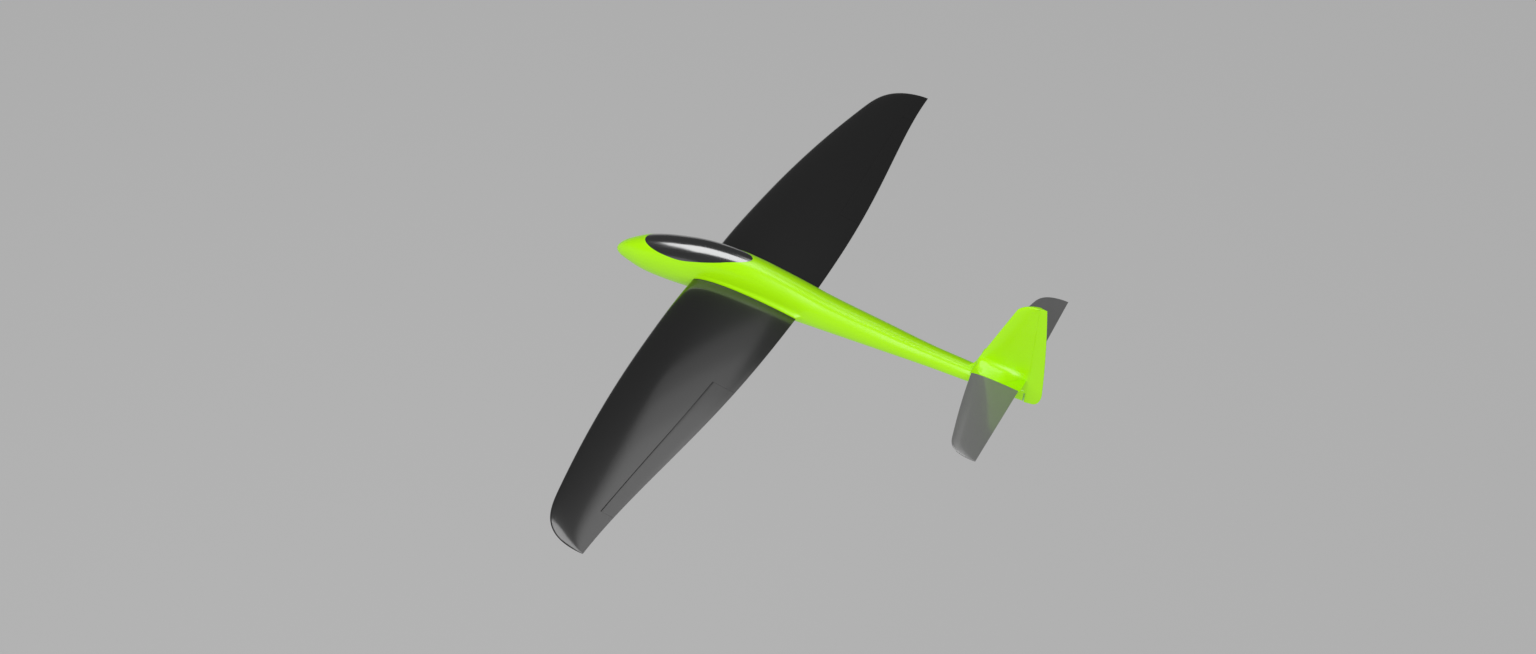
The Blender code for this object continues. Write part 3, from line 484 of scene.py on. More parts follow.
# ---- fuselage -----------------------------------------------------------------------------------
@dataclass
class Fuselage:
    """Pod, boom, wing root fairings and canopy."""

    shop: Workshop
    wing: "Wing"
    stations: tuple[tuple[float, float, float, float], ...] = (
        (-192.5, -28.0, -29.0, 0.8), (-184.3, -13.5, -36.5, 9.7), (-165.0, 2.2, -41.0, 16.8),
        (-132.0, 21.5, -45.1, 25.0), (-82.5, 40.2, -44.5, 29.2), (-16.5, 55.6, -39.0, 30.0),
        (55.0, 57.2, -34.0, 28.2), (121.0, 47.3, -28.6, 26.2), (187.0, 34.7, -24.6, 24.0),
        (275.0, 23.7, -20.9, 20.1), (357.5, 14.6, -18.6, 15.6), (429.0, 10.6, -17.8, 13.2),
        (468.0, 8.0, -18.8, 9.5), (506.2, 4.8, -20.7, 4.2))
    seam: tuple[tuple[float, float], ...] = (
        (-160.0, 18.6), (-137.5, 19.2), (-92.0, 20.8), (-61.6, 24.6), (-27.0, 34.8),
        (2.2, 44.2), (24.8, 51.4), (48.4, 56.2), (66.0, 58.6), (80.0, 60.2))
    power: float = 2.15
    wall: float = 3.0
    canopy_wall: float = 2.0
    gap: float = 0.3
    rim: float = 0.03
    length_steps: int = 190
    arc_steps: int = 150
    bead: float = 2.2
    fillet_over: float = 17.0
    fillet_under: float = 10.0
    seam_play: float = 0.08
    rod_slot: tuple[Point, Point] = ((382.0, 6.4, -9.0), (512.0, 24.0, -3.0))
    crank_slot: tuple[Point, Point] = ((446.6, -3.0, -3.5), (467.4, 3.0, 30.5))

    def size_at(self, x: float) -> tuple[float, float, float]:
        """Top, bottom and half width of the section at a place along X."""
        nose = self.stations[0][0]
        shares = [math.sqrt(station[0] - nose) for station in self.stations]
        place = math.sqrt(max(x - nose, 0.0))
        top, bottom, width = (hermite(shares, [s[k] for s in self.stations], place) for k in (1, 2, 3))
        return top, bottom, width

    def places(self) -> list[float]:
        """Places along X of the sections, closer together at the nose."""
        nose = self.stations[0][0]
        tail = self.stations[-1][0]
        start = [nose + 0.28 * i ** 2 for i in range(13)]
        first = start[-1]
        rest = [first + (tail - first) * i / self.length_steps for i in range(1, self.length_steps + 1)]
        return start + rest

    def fairing(self, x: float, y: float, z: float) -> float:
        """How far a point of the side is moved out to meet the wing root.

        Args:
            x: place along X.
            y: distance from the centreline.
            z: height.

        Returns:
            The added distance in millimetres.
        """
        leading, trailing, thickness = self.wing.section(self.wing.root)
        reach = self.wing.root - self.gap - y
        if reach <= 0:
            return 0.0
        chord = trailing - leading
        share = (x - leading) / chord
        clamped = min(max(share, 0.0), 1.0)
        half = self.wing.foil.half(clamped, thickness, chord)
        middle = self.wing.foil.middle(clamped, chord)
        ends = max(-share * chord / 9.0, (share - 1) * chord / 16.0, 0.0)
        away = z - middle
        proud = abs(away) - half - self.bead
        side = proud / (self.fillet_over if away > 0 else self.fillet_under)
        distance = math.hypot(max(side, 0.0), ends)
        flare = max(1 - distance, 0.0) ** 3.2
        turn = min(max(proud + self.bead, 0.0) / (2.2 * self.bead), 1.0)
        rounding = 0.9 * (1 - math.sqrt(max(1 - turn ** 2, 0.0)))
        return max(reach * flare - min(rounding, 0.35 * reach), 0.0)

    def half_arc(self, x: float, offset: float, steps: int, fair: bool) -> Ring:
        """Starboard half of the section from top to bottom.

        Args:
            x: place along X.
            offset: how far the section is grown, in millimetres.
            steps: steps round the half.
            fair: whether the wing root fairing is added.

        Returns:
            Points as (x, y, z).
        """
        top, bottom, width = self.size_at(x)
        middle = bottom + 0.47 * (top - bottom)
        scale_y = max(width + offset, 0.3 * width)
        up = max(top + offset - middle, 0.3 * (top - middle))
        down = max(middle - bottom + offset, 0.3 * (middle - bottom))
        points = []
        for i in range(steps + 1):
            angle = math.pi * i / steps
            y = scale_y * abs(math.sin(angle)) ** (2 / self.power)
            rise = abs(math.cos(angle)) ** (2 / self.power)
            z = middle + (up * rise if i <= steps / 2 else -down * rise)
            if fair:
                y += self.fairing(x, y, z)
            points.append((x, y, z))
        return points

    def half_shell(self, name: str, side: int) -> bpy.types.Object:
        """One moulded half with its inner wall."""
        rings = []
        for x in self.places():
            outer = self.half_arc(x, 0.0, self.arc_steps, True)
            inner = self.half_arc(x, -self.wall, 20, False)
            rings.append([(px, side * max(py, self.rim), pz) for px, py, pz in outer + inner[::-1]])
        return self.shop.loft(name, rings)

    def full_form(self, name: str, offset: float, steps: int, first: int = 0) -> bpy.types.Object:
        """The closed outer form, grown by an offset."""
        rings = []
        for x in self.places()[first:]:
            half = self.half_arc(x, offset, steps, False)
            rings.append(half + [(px, -py, pz) for px, py, pz in half[-2:0:-1]])
        return self.shop.loft(name, rings)

    def over_seam(self, lift: float) -> bpy.types.Object:
        """The space above the canopy seam, as a cutter."""
        xs = [point[0] for point in self.seam]
        zs = [point[1] for point in self.seam]
        steps = 150
        line = [xs[0] + (xs[-1] - xs[0]) * i / steps for i in range(steps + 1)]
        outline = [(x, hermite(xs, zs, x) + lift) for x in line] + [(xs[-1], 90.0), (xs[0], 90.0)]
        return self.shop.loft("seam_cutter", [[(x, y, z) for x, z in outline] for y in (-45.0, 45.0)])

    def slot_box(self, low: Point, high: Point) -> bpy.types.Object:
        """A plain box used as a cutter."""
        rings = [[(x, low[1], low[2]), (x, high[1], low[2]), (x, high[1], high[2]), (x, low[1], high[2])]
                 for x in (low[0], high[0])]
        return self.shop.loft("slot_cutter", rings)

    def build(self) -> None:
        """Make both shells and the canopy."""
        for label, side in (("left", -1), ("right", 1)):
            shell = self.half_shell(f"skin_fuselage_{label}", side)
            self.shop.combine(shell, self.over_seam(-self.seam_play))
            if side > 0:
                self.shop.combine(shell, self.slot_box(*self.rod_slot))
            self.shop.combine(shell, self.slot_box(*self.crank_slot))
            self.shop.piece(shell, GREEN, "fuselage", "green_foam", [f"fuselage_{label}_shell"])
        canopy = self.full_form("skin_canopy", 0.0, 70)
        self.shop.combine(canopy, self.full_form("canopy_inner", -self.canopy_wall, 50, 4))
        self.shop.combine(canopy, self.over_seam(self.seam_play), "INTERSECT")
        self.shop.piece(canopy, CANOPY, "canopy", "canopy", ["canopy"])


# ---- wing ---------------------------------------------------------------------------------------
@dataclass
class Wing:
    """Wing panels and ailerons."""

    shop: Workshop
    semi_span: float = 550.0
    root: float = 31.0
    rib: float = 1.6
    gap: float = 0.3
    thickness: tuple[float, float] = (0.095, 0.080)
    foil: Aerofoil = Aerofoil(camber=0.018)
    leading_edge: tuple[tuple[float, float], ...] = (
        (-33.5, 0.050), (-35.6, 0.138), (-32.3, 0.281), (-25.7, 0.458),
        (-11.9, 0.657), (9.0, 0.853), (28.6, 1.0), (97.0, 1.0))
    trailing_curve: tuple[float, ...] = (99.5, 6.4, 245.0, -330.9, 126.6)
    aileron_span: tuple[float, float] = (205.0, 480.0)
    hinge_x: tuple[float, float] = (102.0, 84.0)
    hinge_gap: float = 0.16
    end_gap: float = 0.25
    bay_length: float = 70.0
    bay_half: float = 30.0
    tip_run: float = 60.0
    servo_y: float = 232.0
    link: float = 36.0
    # servo pocket and cover, along and across the linkage, from the servo arm's pivot
    well_low: Point = (-15.6, -10.4, -20.0)
    well_high: Point = (6.4, 4.1, 4.0)
    cover_centre: tuple[float, float] = (-4.6, -3.2)
    cover_half: tuple[float, float] = (15.0, 11.5)
    cover_edge: float = 0.7
    cover_corner: float = 0.35
    arm_slot_half: tuple[float, float] = (7.6, 2.2)
    arm_slot_shift: tuple[float, float] = (4.6, 3.4)
    cover_depths: Point = (0.1, 0.7, 1.0)
    screws_u: tuple[float, float] = (-17.0, 7.8)
    screws_v: tuple[float, float] = (-12.2, 5.8)
    screw_drop: float = 1.0

    def section(self, y: float) -> tuple[float, float, float]:
        """Leading edge, trailing edge and thickness ratio at a distance from the centreline."""
        points = [(x, share * self.semi_span) for x, share in self.leading_edge]
        low, high = 0.0, 1.0
        for _ in range(40):
            middle = (low + high) / 2
            if b_spline(points, middle)[1] < y:
                low = middle
            else:
                high = middle
        rest = 1 - y / self.semi_span
        trailing = sum(value * rest ** power for power, value in enumerate(self.trailing_curve))
        thick = self.thickness[0] + (self.thickness[1] - self.thickness[0]) * (1 - rest)
        return b_spline(points, low)[0], trailing, thick

    def places(self) -> list[float]:
        """Distances from the centreline of the panel's sections, closer together at the tip."""
        start = self.root + self.rib + self.gap
        turn = self.semi_span - self.tip_run
        inner = [start + (turn - start) * i / 44 for i in range(44)]
        return inner + [self.semi_span - self.tip_run * (1 - i / 26) ** 2 - 0.12 for i in range(27)]

    def hinge(self, y: float) -> tuple[float, float, float]:
        """Place along X, height and nose radius of the hinge line at a distance outboard."""
        ends = []
        for place, x in zip(self.aileron_span, self.hinge_x):
            leading, trailing, thickness = self.section(place)
            chord = trailing - leading
            share = (x - leading) / chord
            ends.append((x, self.foil.middle(share, chord), self.foil.half(share, thickness, chord)))
        t = (y - self.aileron_span[0]) / (self.aileron_span[1] - self.aileron_span[0])
        x, z, radius = (a + (b - a) * t for a, b in zip(*ends))
        return x, z, radius

    def panel(self, name: str, side: int) -> bpy.types.Object:
        """The whole panel before its aileron is cut away."""
        rings = []
        for y in self.places():
            leading, trailing, thickness = self.section(y)
            rings.append([(x, side * y, z) for x, z in self.foil.outline(leading, trailing, thickness)])
        return self.shop.loft(name, rings, 30.0)

    def bay(self, side: int) -> bpy.types.Object:
        """The space cut from the panel for its aileron."""
        rings = []
        for y in (self.aileron_span[0] - self.end_gap, self.aileron_span[1] + self.end_gap):
            x0, z0, radius = self.hinge(y)
            nose = arc((x0, z0), radius + self.hinge_gap, math.pi / 2, math.pi, 40)
            back, above, below = x0 + self.bay_length, z0 + self.bay_half, z0 - self.bay_half
            outline = [(back, above), (x0, above), *nose, (x0, below), (back, below)]
            rings.append([(x, side * y, z) for x, z in outline])
        return self.shop.loft("bay_cutter", rings)

    def aileron(self, name: str, side: int) -> bpy.types.Object:
        """The aileron, with a round nose on the hinge line."""
        rings = []
        inner, outer = self.aileron_span
        for i in range(41):
            y = inner + (outer - inner) * i / 40
            x0, z0, radius = self.hinge(y)
            leading, trailing, thickness = self.section(y)
            chord = trailing - leading
            tail = []
            for k in range(1, 13):
                x = x0 + (trailing - x0) * k / 12
                share = (x - leading) / chord
                half = min(self.foil.half(share, thickness, chord), radius)
                tail.append((x, self.foil.middle(share, chord), half))
            ring = arc((x0, z0), radius, math.pi / 2, math.pi, 16)
            ring += [(x, middle - half) for x, middle, half in tail]
            ring += [(x, middle + half) for x, middle, half in reversed(tail)]
            rings.append([(x, side * y, z) for x, z in ring])
        return self.shop.loft(name, rings)

    def linkage_frame(self, side: int) -> Matrix:
        """Airframe matrix with its origin on the hinge line and local Y outboard along it."""
        x, z, _ = self.hinge(self.servo_y)
        far_x, far_z, _ = self.hinge(self.aileron_span[1])
        start = Vector((x, side * self.servo_y, z))
        along = (Vector((far_x, side * self.aileron_span[1], far_z)) - start).normalized()
        across = along.cross(Vector((0, 0, 1))).normalized()
        if across.x < 0:
            across = -across
        up = across.cross(along) if side > 0 else along.cross(across)
        frame = Matrix((across, along, up)).transposed().to_4x4()
        frame.translation = start
        return frame

    def servo_well(self, side: int) -> bpy.types.Object:
        """The pocket under the panel that takes the servo."""
        work = bmesh.new()
        low = (self.well_low[0] - self.link, *self.well_low[1:])
        high = (self.well_high[0] - self.link, *self.well_high[1:])
        size = [b - a for a, b in zip(low, high)]
        centre = [(a + b) / 2 for a, b in zip(low, high)]
        place = self.linkage_frame(side) @ Matrix.Translation(centre) @ Matrix.Diagonal((*size, 1.0))
        bmesh.ops.create_cube(work, size=1.0, matrix=place)
        return self.shop.mesh("well_cutter", work)

    def under_surface(self, x: float, y: float) -> float:
        """Height of the panel's lower surface."""
        leading, trailing, thickness = self.section(abs(y))
        chord = trailing - leading
        share = min(max((x - leading) / chord, 0.0), 1.0)
        return self.foil.middle(share, chord) - self.foil.half(share, thickness, chord)

    def cover(self, name: str, side: int) -> bpy.types.Object:
        """Thin plate over the servo pocket, with a slot for the arm."""
        frame = self.linkage_frame(side)
        centre_u = self.cover_centre[0] - self.link
        half_u, half_v = self.cover_half
        face = (half_u - self.cover_edge, half_v - self.cover_edge)
        top, edge, under = self.cover_depths
        whole = (0.0, 0.0)
        slot, aside = self.arm_slot_half, self.arm_slot_shift
        work = bmesh.new()
        rows = []
        for (size_u, size_v), (shift_u, shift_v), drop in (
                (self.cover_half, whole, top), (self.cover_half, whole, edge), (face, whole, under),
                (slot, aside, under), (slot, aside, top)):
            row = []
            for i in range(48):
                angle = 2 * math.pi * i / 48
                u = size_u * math.copysign(abs(math.cos(angle)) ** self.cover_corner, math.cos(angle))
                v = size_v * math.copysign(abs(math.sin(angle)) ** self.cover_corner, math.sin(angle))
                spot = frame @ Vector((centre_u + u + shift_u, self.cover_centre[1] + v + shift_v, 0.0))
                row.append(work.verts.new((spot.x, spot.y, self.under_surface(spot.x, spot.y) - drop)))
            rows.append(row)
        for first, second in zip(rows, rows[1:] + rows[:1]):
            for i in range(48):
                j = (i + 1) % 48
                work.faces.new((first[i], first[j], second[j], second[i]))
        return self.shop.mesh(name, work, 50.0)

    def screw_spots(self, side: int) -> list[Vector]:
        """Places of the four cover screws, in airframe millimetres."""
        frame = self.linkage_frame(side)
        spots = []
        for u in self.screws_u:
            for v in self.screws_v:
                spot = frame @ Vector((-self.link + u, v, 0.0))
                height = self.under_surface(spot.x, spot.y) - self.screw_drop
                spots.append(Vector((spot.x, spot.y, height)))
        return spots

    def build(self) -> None:
        """Make both panels, their ailerons and servo covers."""
        screws = ScrewRow(self.shop)
        for label, side in (("left", -1), ("right", 1)):
            panel = self.panel(f"skin_wing_{label}", side)
            self.shop.combine(panel, self.bay(side))
            self.shop.combine(panel, self.servo_well(side))
            self.shop.piece(panel, CHARCOAL, "fuselage", "charcoal_film", [f"wing_panel_{label}"])
            aileron = self.aileron(f"skin_aileron_{label}", side)
            self.shop.piece(aileron, CHARCOAL, f"aileron_{label}", "charcoal_film", [f"aileron_{label}"])
            cover = self.cover(f"servo_cover_{label}", side)
            self.shop.piece(cover, BLACK, "fuselage", "black_plastic", [f"aileron_servo_cover_{label}"])
            heads = screws.build(f"cover_screws_{label}", self.screw_spots(side))
            self.shop.piece(heads, STEEL, "fuselage", "steel_wire")


# ---- repeated fasteners -------------------------------------------------------------------------
@dataclass
class ScrewRow:
    """Pan-head screws set on points by a Geometry Nodes tree, heads down."""

    shop: Workshop
    head_radius: float = 1.15
    head_height: float = 0.7
    slot_sides: int = 6

    def tree(self) -> bpy.types.NodeTree:
        """Build the node tree with named inputs.

        Returns:
            The tree: a flat round head with a six-sided socket on each vertex, realized and given its
                material.
        """
        tree = bpy.data.node_groups.new("screw_row", "GeometryNodeTree")
        tree.interface.new_socket("Geometry", in_out="INPUT", socket_type="NodeSocketGeometry")
        for name in ("Head Radius", "Head Height"):
            tree.interface.new_socket(name, in_out="INPUT", socket_type="NodeSocketFloat")
        tree.interface.new_socket("Finish", in_out="INPUT", socket_type="NodeSocketMaterial")
        tree.interface.new_socket("Geometry", in_out="OUTPUT", socket_type="NodeSocketGeometry")
        nodes, links = tree.nodes, tree.links
        start = nodes.new("NodeGroupInput")
        head = nodes.new("GeometryNodeMeshCone")
        head.inputs["Vertices"].default_value = 24
        head.inputs["Side Segments"].default_value = 3
        links.new(start.outputs["Head Radius"], head.inputs["Radius Top"])
        links.new(start.outputs["Head Radius"], head.inputs["Radius Bottom"])
        links.new(start.outputs["Head Height"], head.inputs["Depth"])
        socket = nodes.new("GeometryNodeMeshCylinder")
        socket.inputs["Vertices"].default_value = self.slot_sides
        for name, factor, output in (("Radius", 0.5, "Head Radius"), ("Depth", 1.0, "Head Height")):
            scale = nodes.new("ShaderNodeMath")
            scale.operation = "MULTIPLY"
            scale.inputs[1].default_value = factor
            links.new(start.outputs[output], scale.inputs[0])
            links.new(scale.outputs[0], socket.inputs[name])
        cut = nodes.new("GeometryNodeMeshBoolean")
        cut.operation = "DIFFERENCE"
        lower = nodes.new("GeometryNodeTransform")
        lower.inputs["Translation"].default_value = (0.0, 0.0, -self.head_height * MM * 0.45)
        links.new(socket.outputs["Mesh"], lower.inputs["Geometry"])
        links.new(head.outputs["Mesh"], cut.inputs["Mesh 1"])
        links.new(lower.outputs["Geometry"], cut.inputs["Mesh 2"])
        spread = nodes.new("GeometryNodeInstanceOnPoints")
        links.new(start.outputs["Geometry"], spread.inputs["Points"])
        links.new(cut.outputs["Mesh"], spread.inputs["Instance"])
        real = nodes.new("GeometryNodeRealizeInstances")
        links.new(spread.outputs["Instances"], real.inputs["Geometry"])
        dress = nodes.new("GeometryNodeSetMaterial")
        links.new(real.outputs["Geometry"], dress.inputs["Geometry"])
        links.new(start.outputs["Finish"], dress.inputs["Material"])
        links.new(dress.outputs["Geometry"], nodes.new("NodeGroupOutput").inputs["Geometry"])
        return tree

    def build(self, name: str, spots: Sequence[Vector]) -> bpy.types.Object:
        """Set a screw on each spot.

        Args:
            name: object name.
            spots: places in airframe millimetres.

        Returns:
            One plain mesh with every screw.
        """
        work = bmesh.new()
        for spot in spots:
            work.verts.new(spot)
        item = self.shop.mesh(name, work)
        modifier = item.modifiers.new("screws", "NODES")
        modifier.node_group = self.tree()
        values = {"Head Radius": self.head_radius * MM, "Head Height": self.head_height * MM,
                  "Finish": self.shop.palette.get(STEEL)}
        for entry in modifier.node_group.interface.items_tree:
            if entry.in_out == "INPUT" and entry.name in values:
                modifier[entry.identifier] = values[entry.name]
        return self.shop.bake(item)


# ---- tail ---------------------------------------------------------------------------------------
@dataclass
class Tail:
    """Fin, rudder and the all-moving tailplane."""

    shop: Workshop
    fuselage: Fuselage
    base: tuple[float, float] = (418.0, 0.0)
    shoulder: tuple[float, float] = (476.0, 153.0)
    top: tuple[float, float] = (519.0, 172.6)
    heel: tuple[float, float] = (532.6, 4.0)
    foot: float = -20.8
    bulge: float = 1.8
    top_corner: float = 26.0
    heel_corner: float = 13.0
    root_sweep: float = 7.0
    trough_length: float = 60.0
    trough_half: float = 30.0
    thickness: tuple[float, float] = (9.0, 5.0)
    foil: Aerofoil = Aerofoil()
    hinge_x: float = 509.5
    hinge_gap: float = 0.15
    stab_z: float = 25.5
    stab_root: float = 27.0
    stab_span: float = 175.4
    stab_thickness: float = 0.085
    stab_trailing: float = 505.0
    stab_taper: float = 3.0
    stab_leading: tuple[tuple[float, float], ...] = (
        (431.0, 0.154), (435.0, 0.300), (443.5, 0.560), (455.0, 0.830), (462.0, 1.0), (499.0, 1.0))
    stub: tuple[float, float] = (429.0, 507.0)
    fillet_over: float = 15.0
    fillet_under: float = 8.0
    fillet_front: float = 16.0
    fillet_rear: float = 34.0

    def leading(self, z: float) -> float:
        """Place of the fin's leading edge: a root fillet, a straight and a round top corner."""
        x = self.base[0] + (self.shoulder[0] - self.base[0]) * (z - self.base[1]) / self.shoulder[1]
        if z > self.shoulder[1]:
            share = (z - self.shoulder[1]) / (self.top[1] - self.shoulder[1])
            x += self.top_corner * (1 - math.sqrt(max(1 - share ** 2, 0.0)))
        low = max(0.0, 1 - max(z - 10.0, 0.0) / 14.0)
        return x - self.root_sweep * low ** 2

    def trailing(self, z: float) -> float:
        """Place of the rudder's trailing edge, with a round heel."""
        share = (z - self.heel[1]) / (self.top[1] - self.heel[1])
        x = self.heel[0] + (self.top[0] - self.heel[0]) * share
        x += self.bulge * max(4 * share * (1 - share), 0.0)
        if z < self.heel[1]:
            drop = (self.heel[1] - z) / (self.heel[1] - self.foot)
            x = self.heel[0] - self.heel_corner * (1 - math.sqrt(max(1 - drop ** 2, 0.0)))
        return x

    def half(self, x: float, z: float) -> float:
        """Half thickness of the fin at a place."""
        leading = self.leading(z)
        chord = self.trailing(z) - leading
        share = min(max((x - leading) / chord, 0.0), 1.0)
        thick = self.thickness[0] + (self.thickness[1] - self.thickness[0]) * max(z, 0.0) / self.top[1]
        return self.foil.half(share, thick / chord, chord)

    def radius(self, z: float) -> float:
        """Half thickness on the rudder's hinge line."""
        low = self.half(self.hinge_x, 0.0)
        high = self.half(self.hinge_x, self.top[1] - 20.0)
        return low + (high - low) * (z - self.foot) / (self.top[1] - self.foot)

    def heights(self, bottom: float, steps: int = 40) -> list[float]:
        """Heights of the sections, closer together at the round top."""
        straight = [bottom + (self.shoulder[1] - bottom) * i / steps for i in range(steps + 1)]
        drop = self.top[1] - self.shoulder[1]
        return straight + [self.top[1] - drop * (1 - i / 16) ** 2 for i in range(1, 17)]

    def fin_heights(self) -> list[float]:
        """Heights of the fin's sections, packed closely round the tailplane stub."""
        low, high = self.stab_z - 12.0, self.stab_z + self.fillet_over + 6.0
        near = [low + 0.8 * i for i in range(int((high - low) / 0.8) + 1)]
        apart = [z for z in self.heights(-2.0) if z < low - 0.4 or z > near[-1] + 0.4]
        return sorted(apart + near)

    def fillet(self, x: float, z: float) -> float:
        """How far the fin's side flares out towards the tailplane stub.

        Args:
            x: place along X.
            z: height.

        Returns:
            The added half thickness in millimetres.
        """
        chord = self.stub[1] - self.stub[0]
        share = min(max((x - self.stub[0]) / chord, 0.0), 1.0)
        half = self.foil.half(share, self.stab_thickness, chord)
        away = z - self.stab_z
        rise = (away - half) / self.fillet_over if away > 0 else (-away - half) / self.fillet_under
        front = max(self.stub[0] + 4.0 - x, 0.0) / 9.0
        reach = self.stab_root - self.fuselage.gap - self.half(x, z)
        start = min(max(x - self.leading(z), 0.0) / self.fillet_front, 1.0) ** 0.5
        end = min(max(self.stub[1] - x, 0.0) / self.fillet_rear, 1.0)
        taper = start * end * end * (3 - 2 * end)
        return reach * taper * max(1 - math.hypot(max(rise, 0.0), front), 0.0) ** 2.6

    def fin(self) -> bpy.types.Object:
        """The fin with its tailplane stubs, hollowed round the rudder's nose."""
        rings = []
        for z in self.fin_heights():
            leading = self.leading(z)
            half_ring = []
            for i in range(29):
                x = leading + (self.stub[1] - leading) * (1 - math.cos(math.pi * i / 56))
                half_ring.append((x, self.half(x, z) + self.fillet(x, z), z))
            for x in (self.stub[1] + 0.05, self.hinge_x - 1.0, self.hinge_x + 6.0):
                half_ring.append((x, self.half(x, z), z))
            rings.append(half_ring[::-1] + [(x, -y, h) for x, y, h in half_ring[1:]])
        fin = self.shop.loft("skin_fin", rings, 40.0)
        stub_rings = []
        limit = self.stab_root - self.fuselage.gap
        for i in range(41):
            y = -limit + 2 * limit * i / 40
            near = max(1 - abs(y) / 20.0, 0.0) ** 2
            outline = self.foil.outline(self.stub[0] + 1.0 * near, self.stub[1], self.stab_thickness, 26)
            stub_rings.append([(x, y, self.stab_z + z) for x, z in outline])
        self.shop.combine(fin, self.shop.loft("stub_form", stub_rings), "UNION")
        self.shop.combine(fin, self.fuselage.full_form("boom_form", 0.02, 40, 90))
        self.shop.combine(fin, self.trough())
        self.shop.combine(fin, self.fuselage.slot_box(*self.fuselage.crank_slot))
        return fin

    def trough(self) -> bpy.types.Object:
        """The space behind the fin that the rudder's nose turns in."""
        rings = []
        for z in (-30.0, self.top[1] + 10.0):
            nose = arc((self.hinge_x, 0.0), self.radius(z) + self.hinge_gap, math.pi / 2, math.pi, 24)
            back, wide = self.hinge_x + self.trough_length, self.trough_half
            outline = [(back, wide), (self.hinge_x, wide), *nose, (self.hinge_x, -wide), (back, -wide)]
            rings.append([(x, y, z) for x, y in outline])
        return self.shop.loft("trough_cutter", rings)

    def rudder(self) -> bpy.types.Object:
        """The rudder, with a round nose on its hinge line."""
        rings = []
        heel_rise = self.heel[1] - self.foot
        heights = [self.foot + heel_rise * (i / 14) ** 2 for i in range(14)]
        heights += [self.heel[1] + (self.top[1] - self.heel[1]) * i / 40 for i in range(41)]
        for z in heights:
            radius = self.radius(z)
            trailing = self.trailing(z)
            tail = [(self.hinge_x + (trailing - self.hinge_x) * i / 10,
                     radius + (self.foil.edge / 2 - radius) * i / 10) for i in range(1, 11)]
            ring = arc((self.hinge_x, 0.0), radius, math.pi / 2, math.pi, 18)
            ring += [(x, -y) for x, y in tail] + [(x, y) for x, y in reversed(tail)]
            rings.append([(x, y, z) for x, y in ring])
        return self.shop.bevel(self.shop.loft("skin_rudder", rings, 40.0), 0.5, 3)

    def stab(self, name: str, side: int) -> bpy.types.Object:
        """One half of the tailplane."""
        rings = []
        points = [(x, share * self.stab_span) for x, share in self.stab_leading]
        for i in range(61):
            leading, y = b_spline(points, i / 60)
            trailing = self.stab_trailing - self.stab_taper * y / self.stab_span
            outline = self.foil.outline(leading, trailing, self.stab_thickness, 24)
            rings.append([(x, side * y, self.stab_z + z) for x, z in outline])
        return self.shop.loft(name, rings, 30.0)

    def build(self) -> None:
        """Make the fin, the rudder and both tailplane halves."""
        self.shop.piece(self.fin(), GREEN, "fuselage", "green_foam", ["tail_fin"])
        self.shop.piece(self.rudder(), GREEN, "rudder", "green_foam", ["rudder"])
        for label, side in (("left", -1), ("right", 1)):
            stab = self.stab(f"skin_stab_{label}", side)
            self.shop.piece(stab, GREY, "tailplane", "grey_film", [f"stab_{label}"])


# ---- carried-over pieces ------------------------------------------------------------------------
@dataclass
class Fittings:
    """CAD nodes whose shape is right and that only need their finish."""

    shop: Workshop
    finishes: dict[str, Finish] = field(default_factory=lambda: {
        "root_rib": BLACK, "wing_spar": CARBON, "wing_joiner": CARBON, "joiner_sleeve": BRASS,
        "aileron_horn": BLACK, "rudder_horn": BLACK, "belly_skid": SKID, "receiver": BLACK,
        "aileron_pushrod": STEEL, "stab_pivot_rod": STEEL, "rudder_pushrod": CARBON,
        "elevator_pushrod": CARBON, "tail_crank": NYLON, "equipment_tray": PLYWOOD,
        "nose_ballast": LEAD, "battery_pack": WRAP, "battery_strap": STRAP})

    def finish_of(self, node: str) -> Finish | None:
        """The finish of a carried-over node, or None when a new piece stands for it."""
        if "servo" in node:
            return NYLON if "arm" in node else SERVO
        for start, finish in self.finishes.items():
            if node.startswith(start):
                return finish
        return None

    def build(self, nodes: dict[str, bpy.types.Object]) -> None:
        """Dress every carried-over node.

        Args:
            nodes: CAD node objects by name.
        """
        for name, item in sorted(nodes.items()):
            finish = self.finish_of(name)
            if finish is None or item.hide_render:
                continue
            material = self.shop.palette.get(finish)
            for place in item.material_slots:
                place.material = material
            LOG.info("%s keeps its shape with %s", name, finish.name)


# ---- studio -------------------------------------------------------------------------------------
@dataclass(frozen=True)
class SoftLight:
    """A rectangular soft box: name, place and size in metres, brightness of its face."""

    name: str
    place: Point
    size: tuple[float, float]
    radiance: float


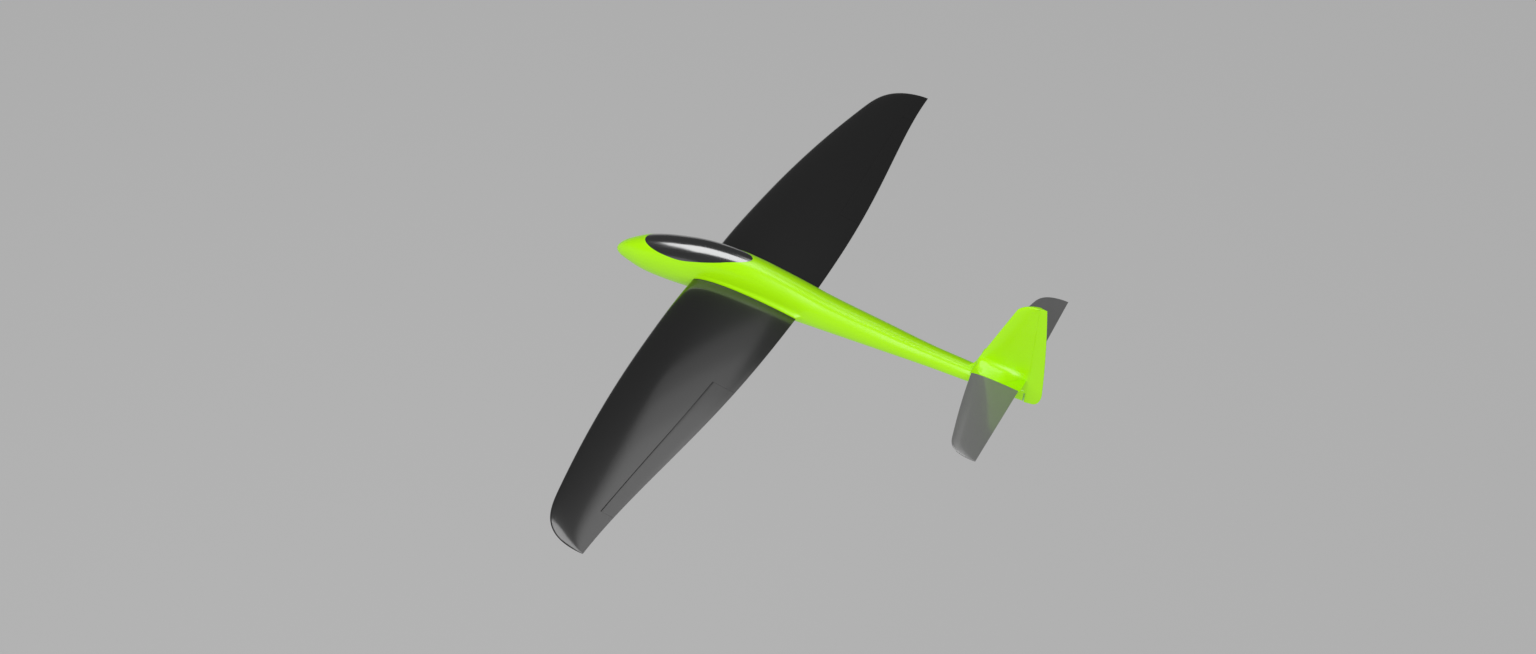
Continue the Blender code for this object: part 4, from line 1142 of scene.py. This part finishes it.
@dataclass
class Studio:
    """Floor, lights, world and camera."""

    shop: Workshop
    azimuth: float = 28.52
    elevation: float = 46.37
    eye: Point = (931.7, -1564.0, 1789.8)
    lens: float = 38.43
    sensor: float = 36.0
    floor_drop: float = 1.3
    bounce: float = 0.1
    glow: float = 0.39
    ambient: float = 0.09
    backdrop: float = 0.445
    lights: tuple[SoftLight, ...] = (
        SoftLight("overhead", (-1.45, -0.58, 2.6), (3.0, 2.0), 2.9),
        SoftLight("far_side_wide", (-0.55, 1.03, 2.6), (1.3, 0.84), 0.42),
        SoftLight("far_side", (-0.5, 0.95, 2.55), (1.0, 0.7), 0.42),
        SoftLight("far_side_core", (-0.45, 0.85, 2.5), (0.7, 0.55), 0.42),
        SoftLight("tail_side", (0.15, 1.0, 2.4), (0.7, 0.9), 1.0),
        SoftLight("camera_side", (0.7, -2.9, 1.3), (2.8, 1.8), 4.5))

    def floor(self) -> None:
        """A wide pale floor, well below the model so that it takes only a soft shadow."""
        work = bmesh.new()
        bmesh.ops.create_grid(work, x_segments=8, y_segments=8, size=30.0)
        data = bpy.data.meshes.new("floor")
        work.to_mesh(data)
        work.free()
        item = bpy.data.objects.new("floor", data)
        item.location.z = -self.floor_drop
        bpy.context.scene.collection.objects.link(item)
        material = bpy.data.materials.new("floor")
        material.use_nodes = True
        shader = material.node_tree.nodes["Principled BSDF"]
        shader.inputs["Base Color"].default_value = (self.bounce, self.bounce, self.bounce, 1.0)
        shader.inputs["Roughness"].default_value = 1.0
        shader.inputs["Specular IOR Level"].default_value = 0.0
        shader.inputs["Emission Color"].default_value = (1.0, 1.0, 1.0, 1.0)
        shader.inputs["Emission Strength"].default_value = self.glow
        data.materials.append(material)

    def light(self, light: SoftLight) -> None:
        """Set up one soft area light, given its brightness rather than its power."""
        data = bpy.data.lights.new(light.name, "AREA")
        data.shape = "RECTANGLE"
        data.size, data.size_y = light.size
        data.energy = light.radiance * math.pi * light.size[0] * light.size[1]
        item = bpy.data.objects.new(light.name, data)
        item.location = light.place
        toward = -Vector(light.place)
        item.rotation_euler = toward.to_track_quat("-Z", "X").to_euler()
        bpy.context.scene.collection.objects.link(item)

    def world(self) -> None:
        """An even sky: pale where it is seen directly, dimmer where it lights the model."""
        world = bpy.data.worlds.new("studio")
        world.use_nodes = True
        tree = world.node_tree
        back = tree.nodes["Background"]
        path = tree.nodes.new("ShaderNodeLightPath")
        level = tree.nodes.new("ShaderNodeMapRange")
        level.inputs["To Min"].default_value = self.ambient
        level.inputs["To Max"].default_value = self.backdrop
        tree.links.new(path.outputs["Is Camera Ray"], level.inputs["Value"])
        tree.links.new(level.outputs["Result"], back.inputs["Strength"])
        back.inputs["Color"].default_value = (1.0, 1.0, 1.0, 1.0)
        bpy.context.scene.world = world

    def camera(self) -> None:
        """The camera at the reference viewing angle."""
        azimuth = math.radians(self.azimuth)
        elevation = math.radians(self.elevation)
        back = Vector((math.sin(azimuth) * math.cos(elevation), -math.cos(azimuth) * math.cos(elevation),
                       math.sin(elevation)))
        data = bpy.data.cameras.new("camera")
        data.lens = self.lens
        data.sensor_width = self.sensor
        item = bpy.data.objects.new("camera", data)
        item.location = self.shop.point(*self.eye)
        item.rotation_euler = (-back).to_track_quat("-Z", "Y").to_euler()
        bpy.context.scene.collection.objects.link(item)
        bpy.context.scene.camera = item

    def build(self) -> None:
        """Set the whole studio up."""
        self.floor()
        self.world()
        for light in self.lights:
            self.light(light)
        self.camera()
        bpy.context.scene.view_settings.view_transform = "Standard"


def clear_scene() -> None:
    """Remove every object the file opened with."""
    for item in list(bpy.data.objects):
        bpy.data.objects.remove(item, do_unlink=True)


def find_datum() -> Vector:
    """Airframe origin in the row frame, from the wing joiner's centre."""
    low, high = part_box("wing_joiner")
    return (low + high) / 2 - Vector(JOINER_CENTRE) * MM


def main() -> None:
    """Build every sub-assembly around the frame and report each piece."""
    logging.basicConfig(level=logging.INFO, format="%(name)s: %(message)s")
    clear_scene()
    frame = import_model()
    shop = Workshop(find_datum())
    wing = Wing(shop)
    fuselage = Fuselage(shop, wing)
    tail = Tail(shop, fuselage)
    steps: list[Callable[[], None]] = [fuselage.build, wing.build, tail.build]
    for step in steps:
        step()
    Fittings(shop).build(frame["nodes"])
    Studio(shop).build()


if __name__ == "__main__":
    main()
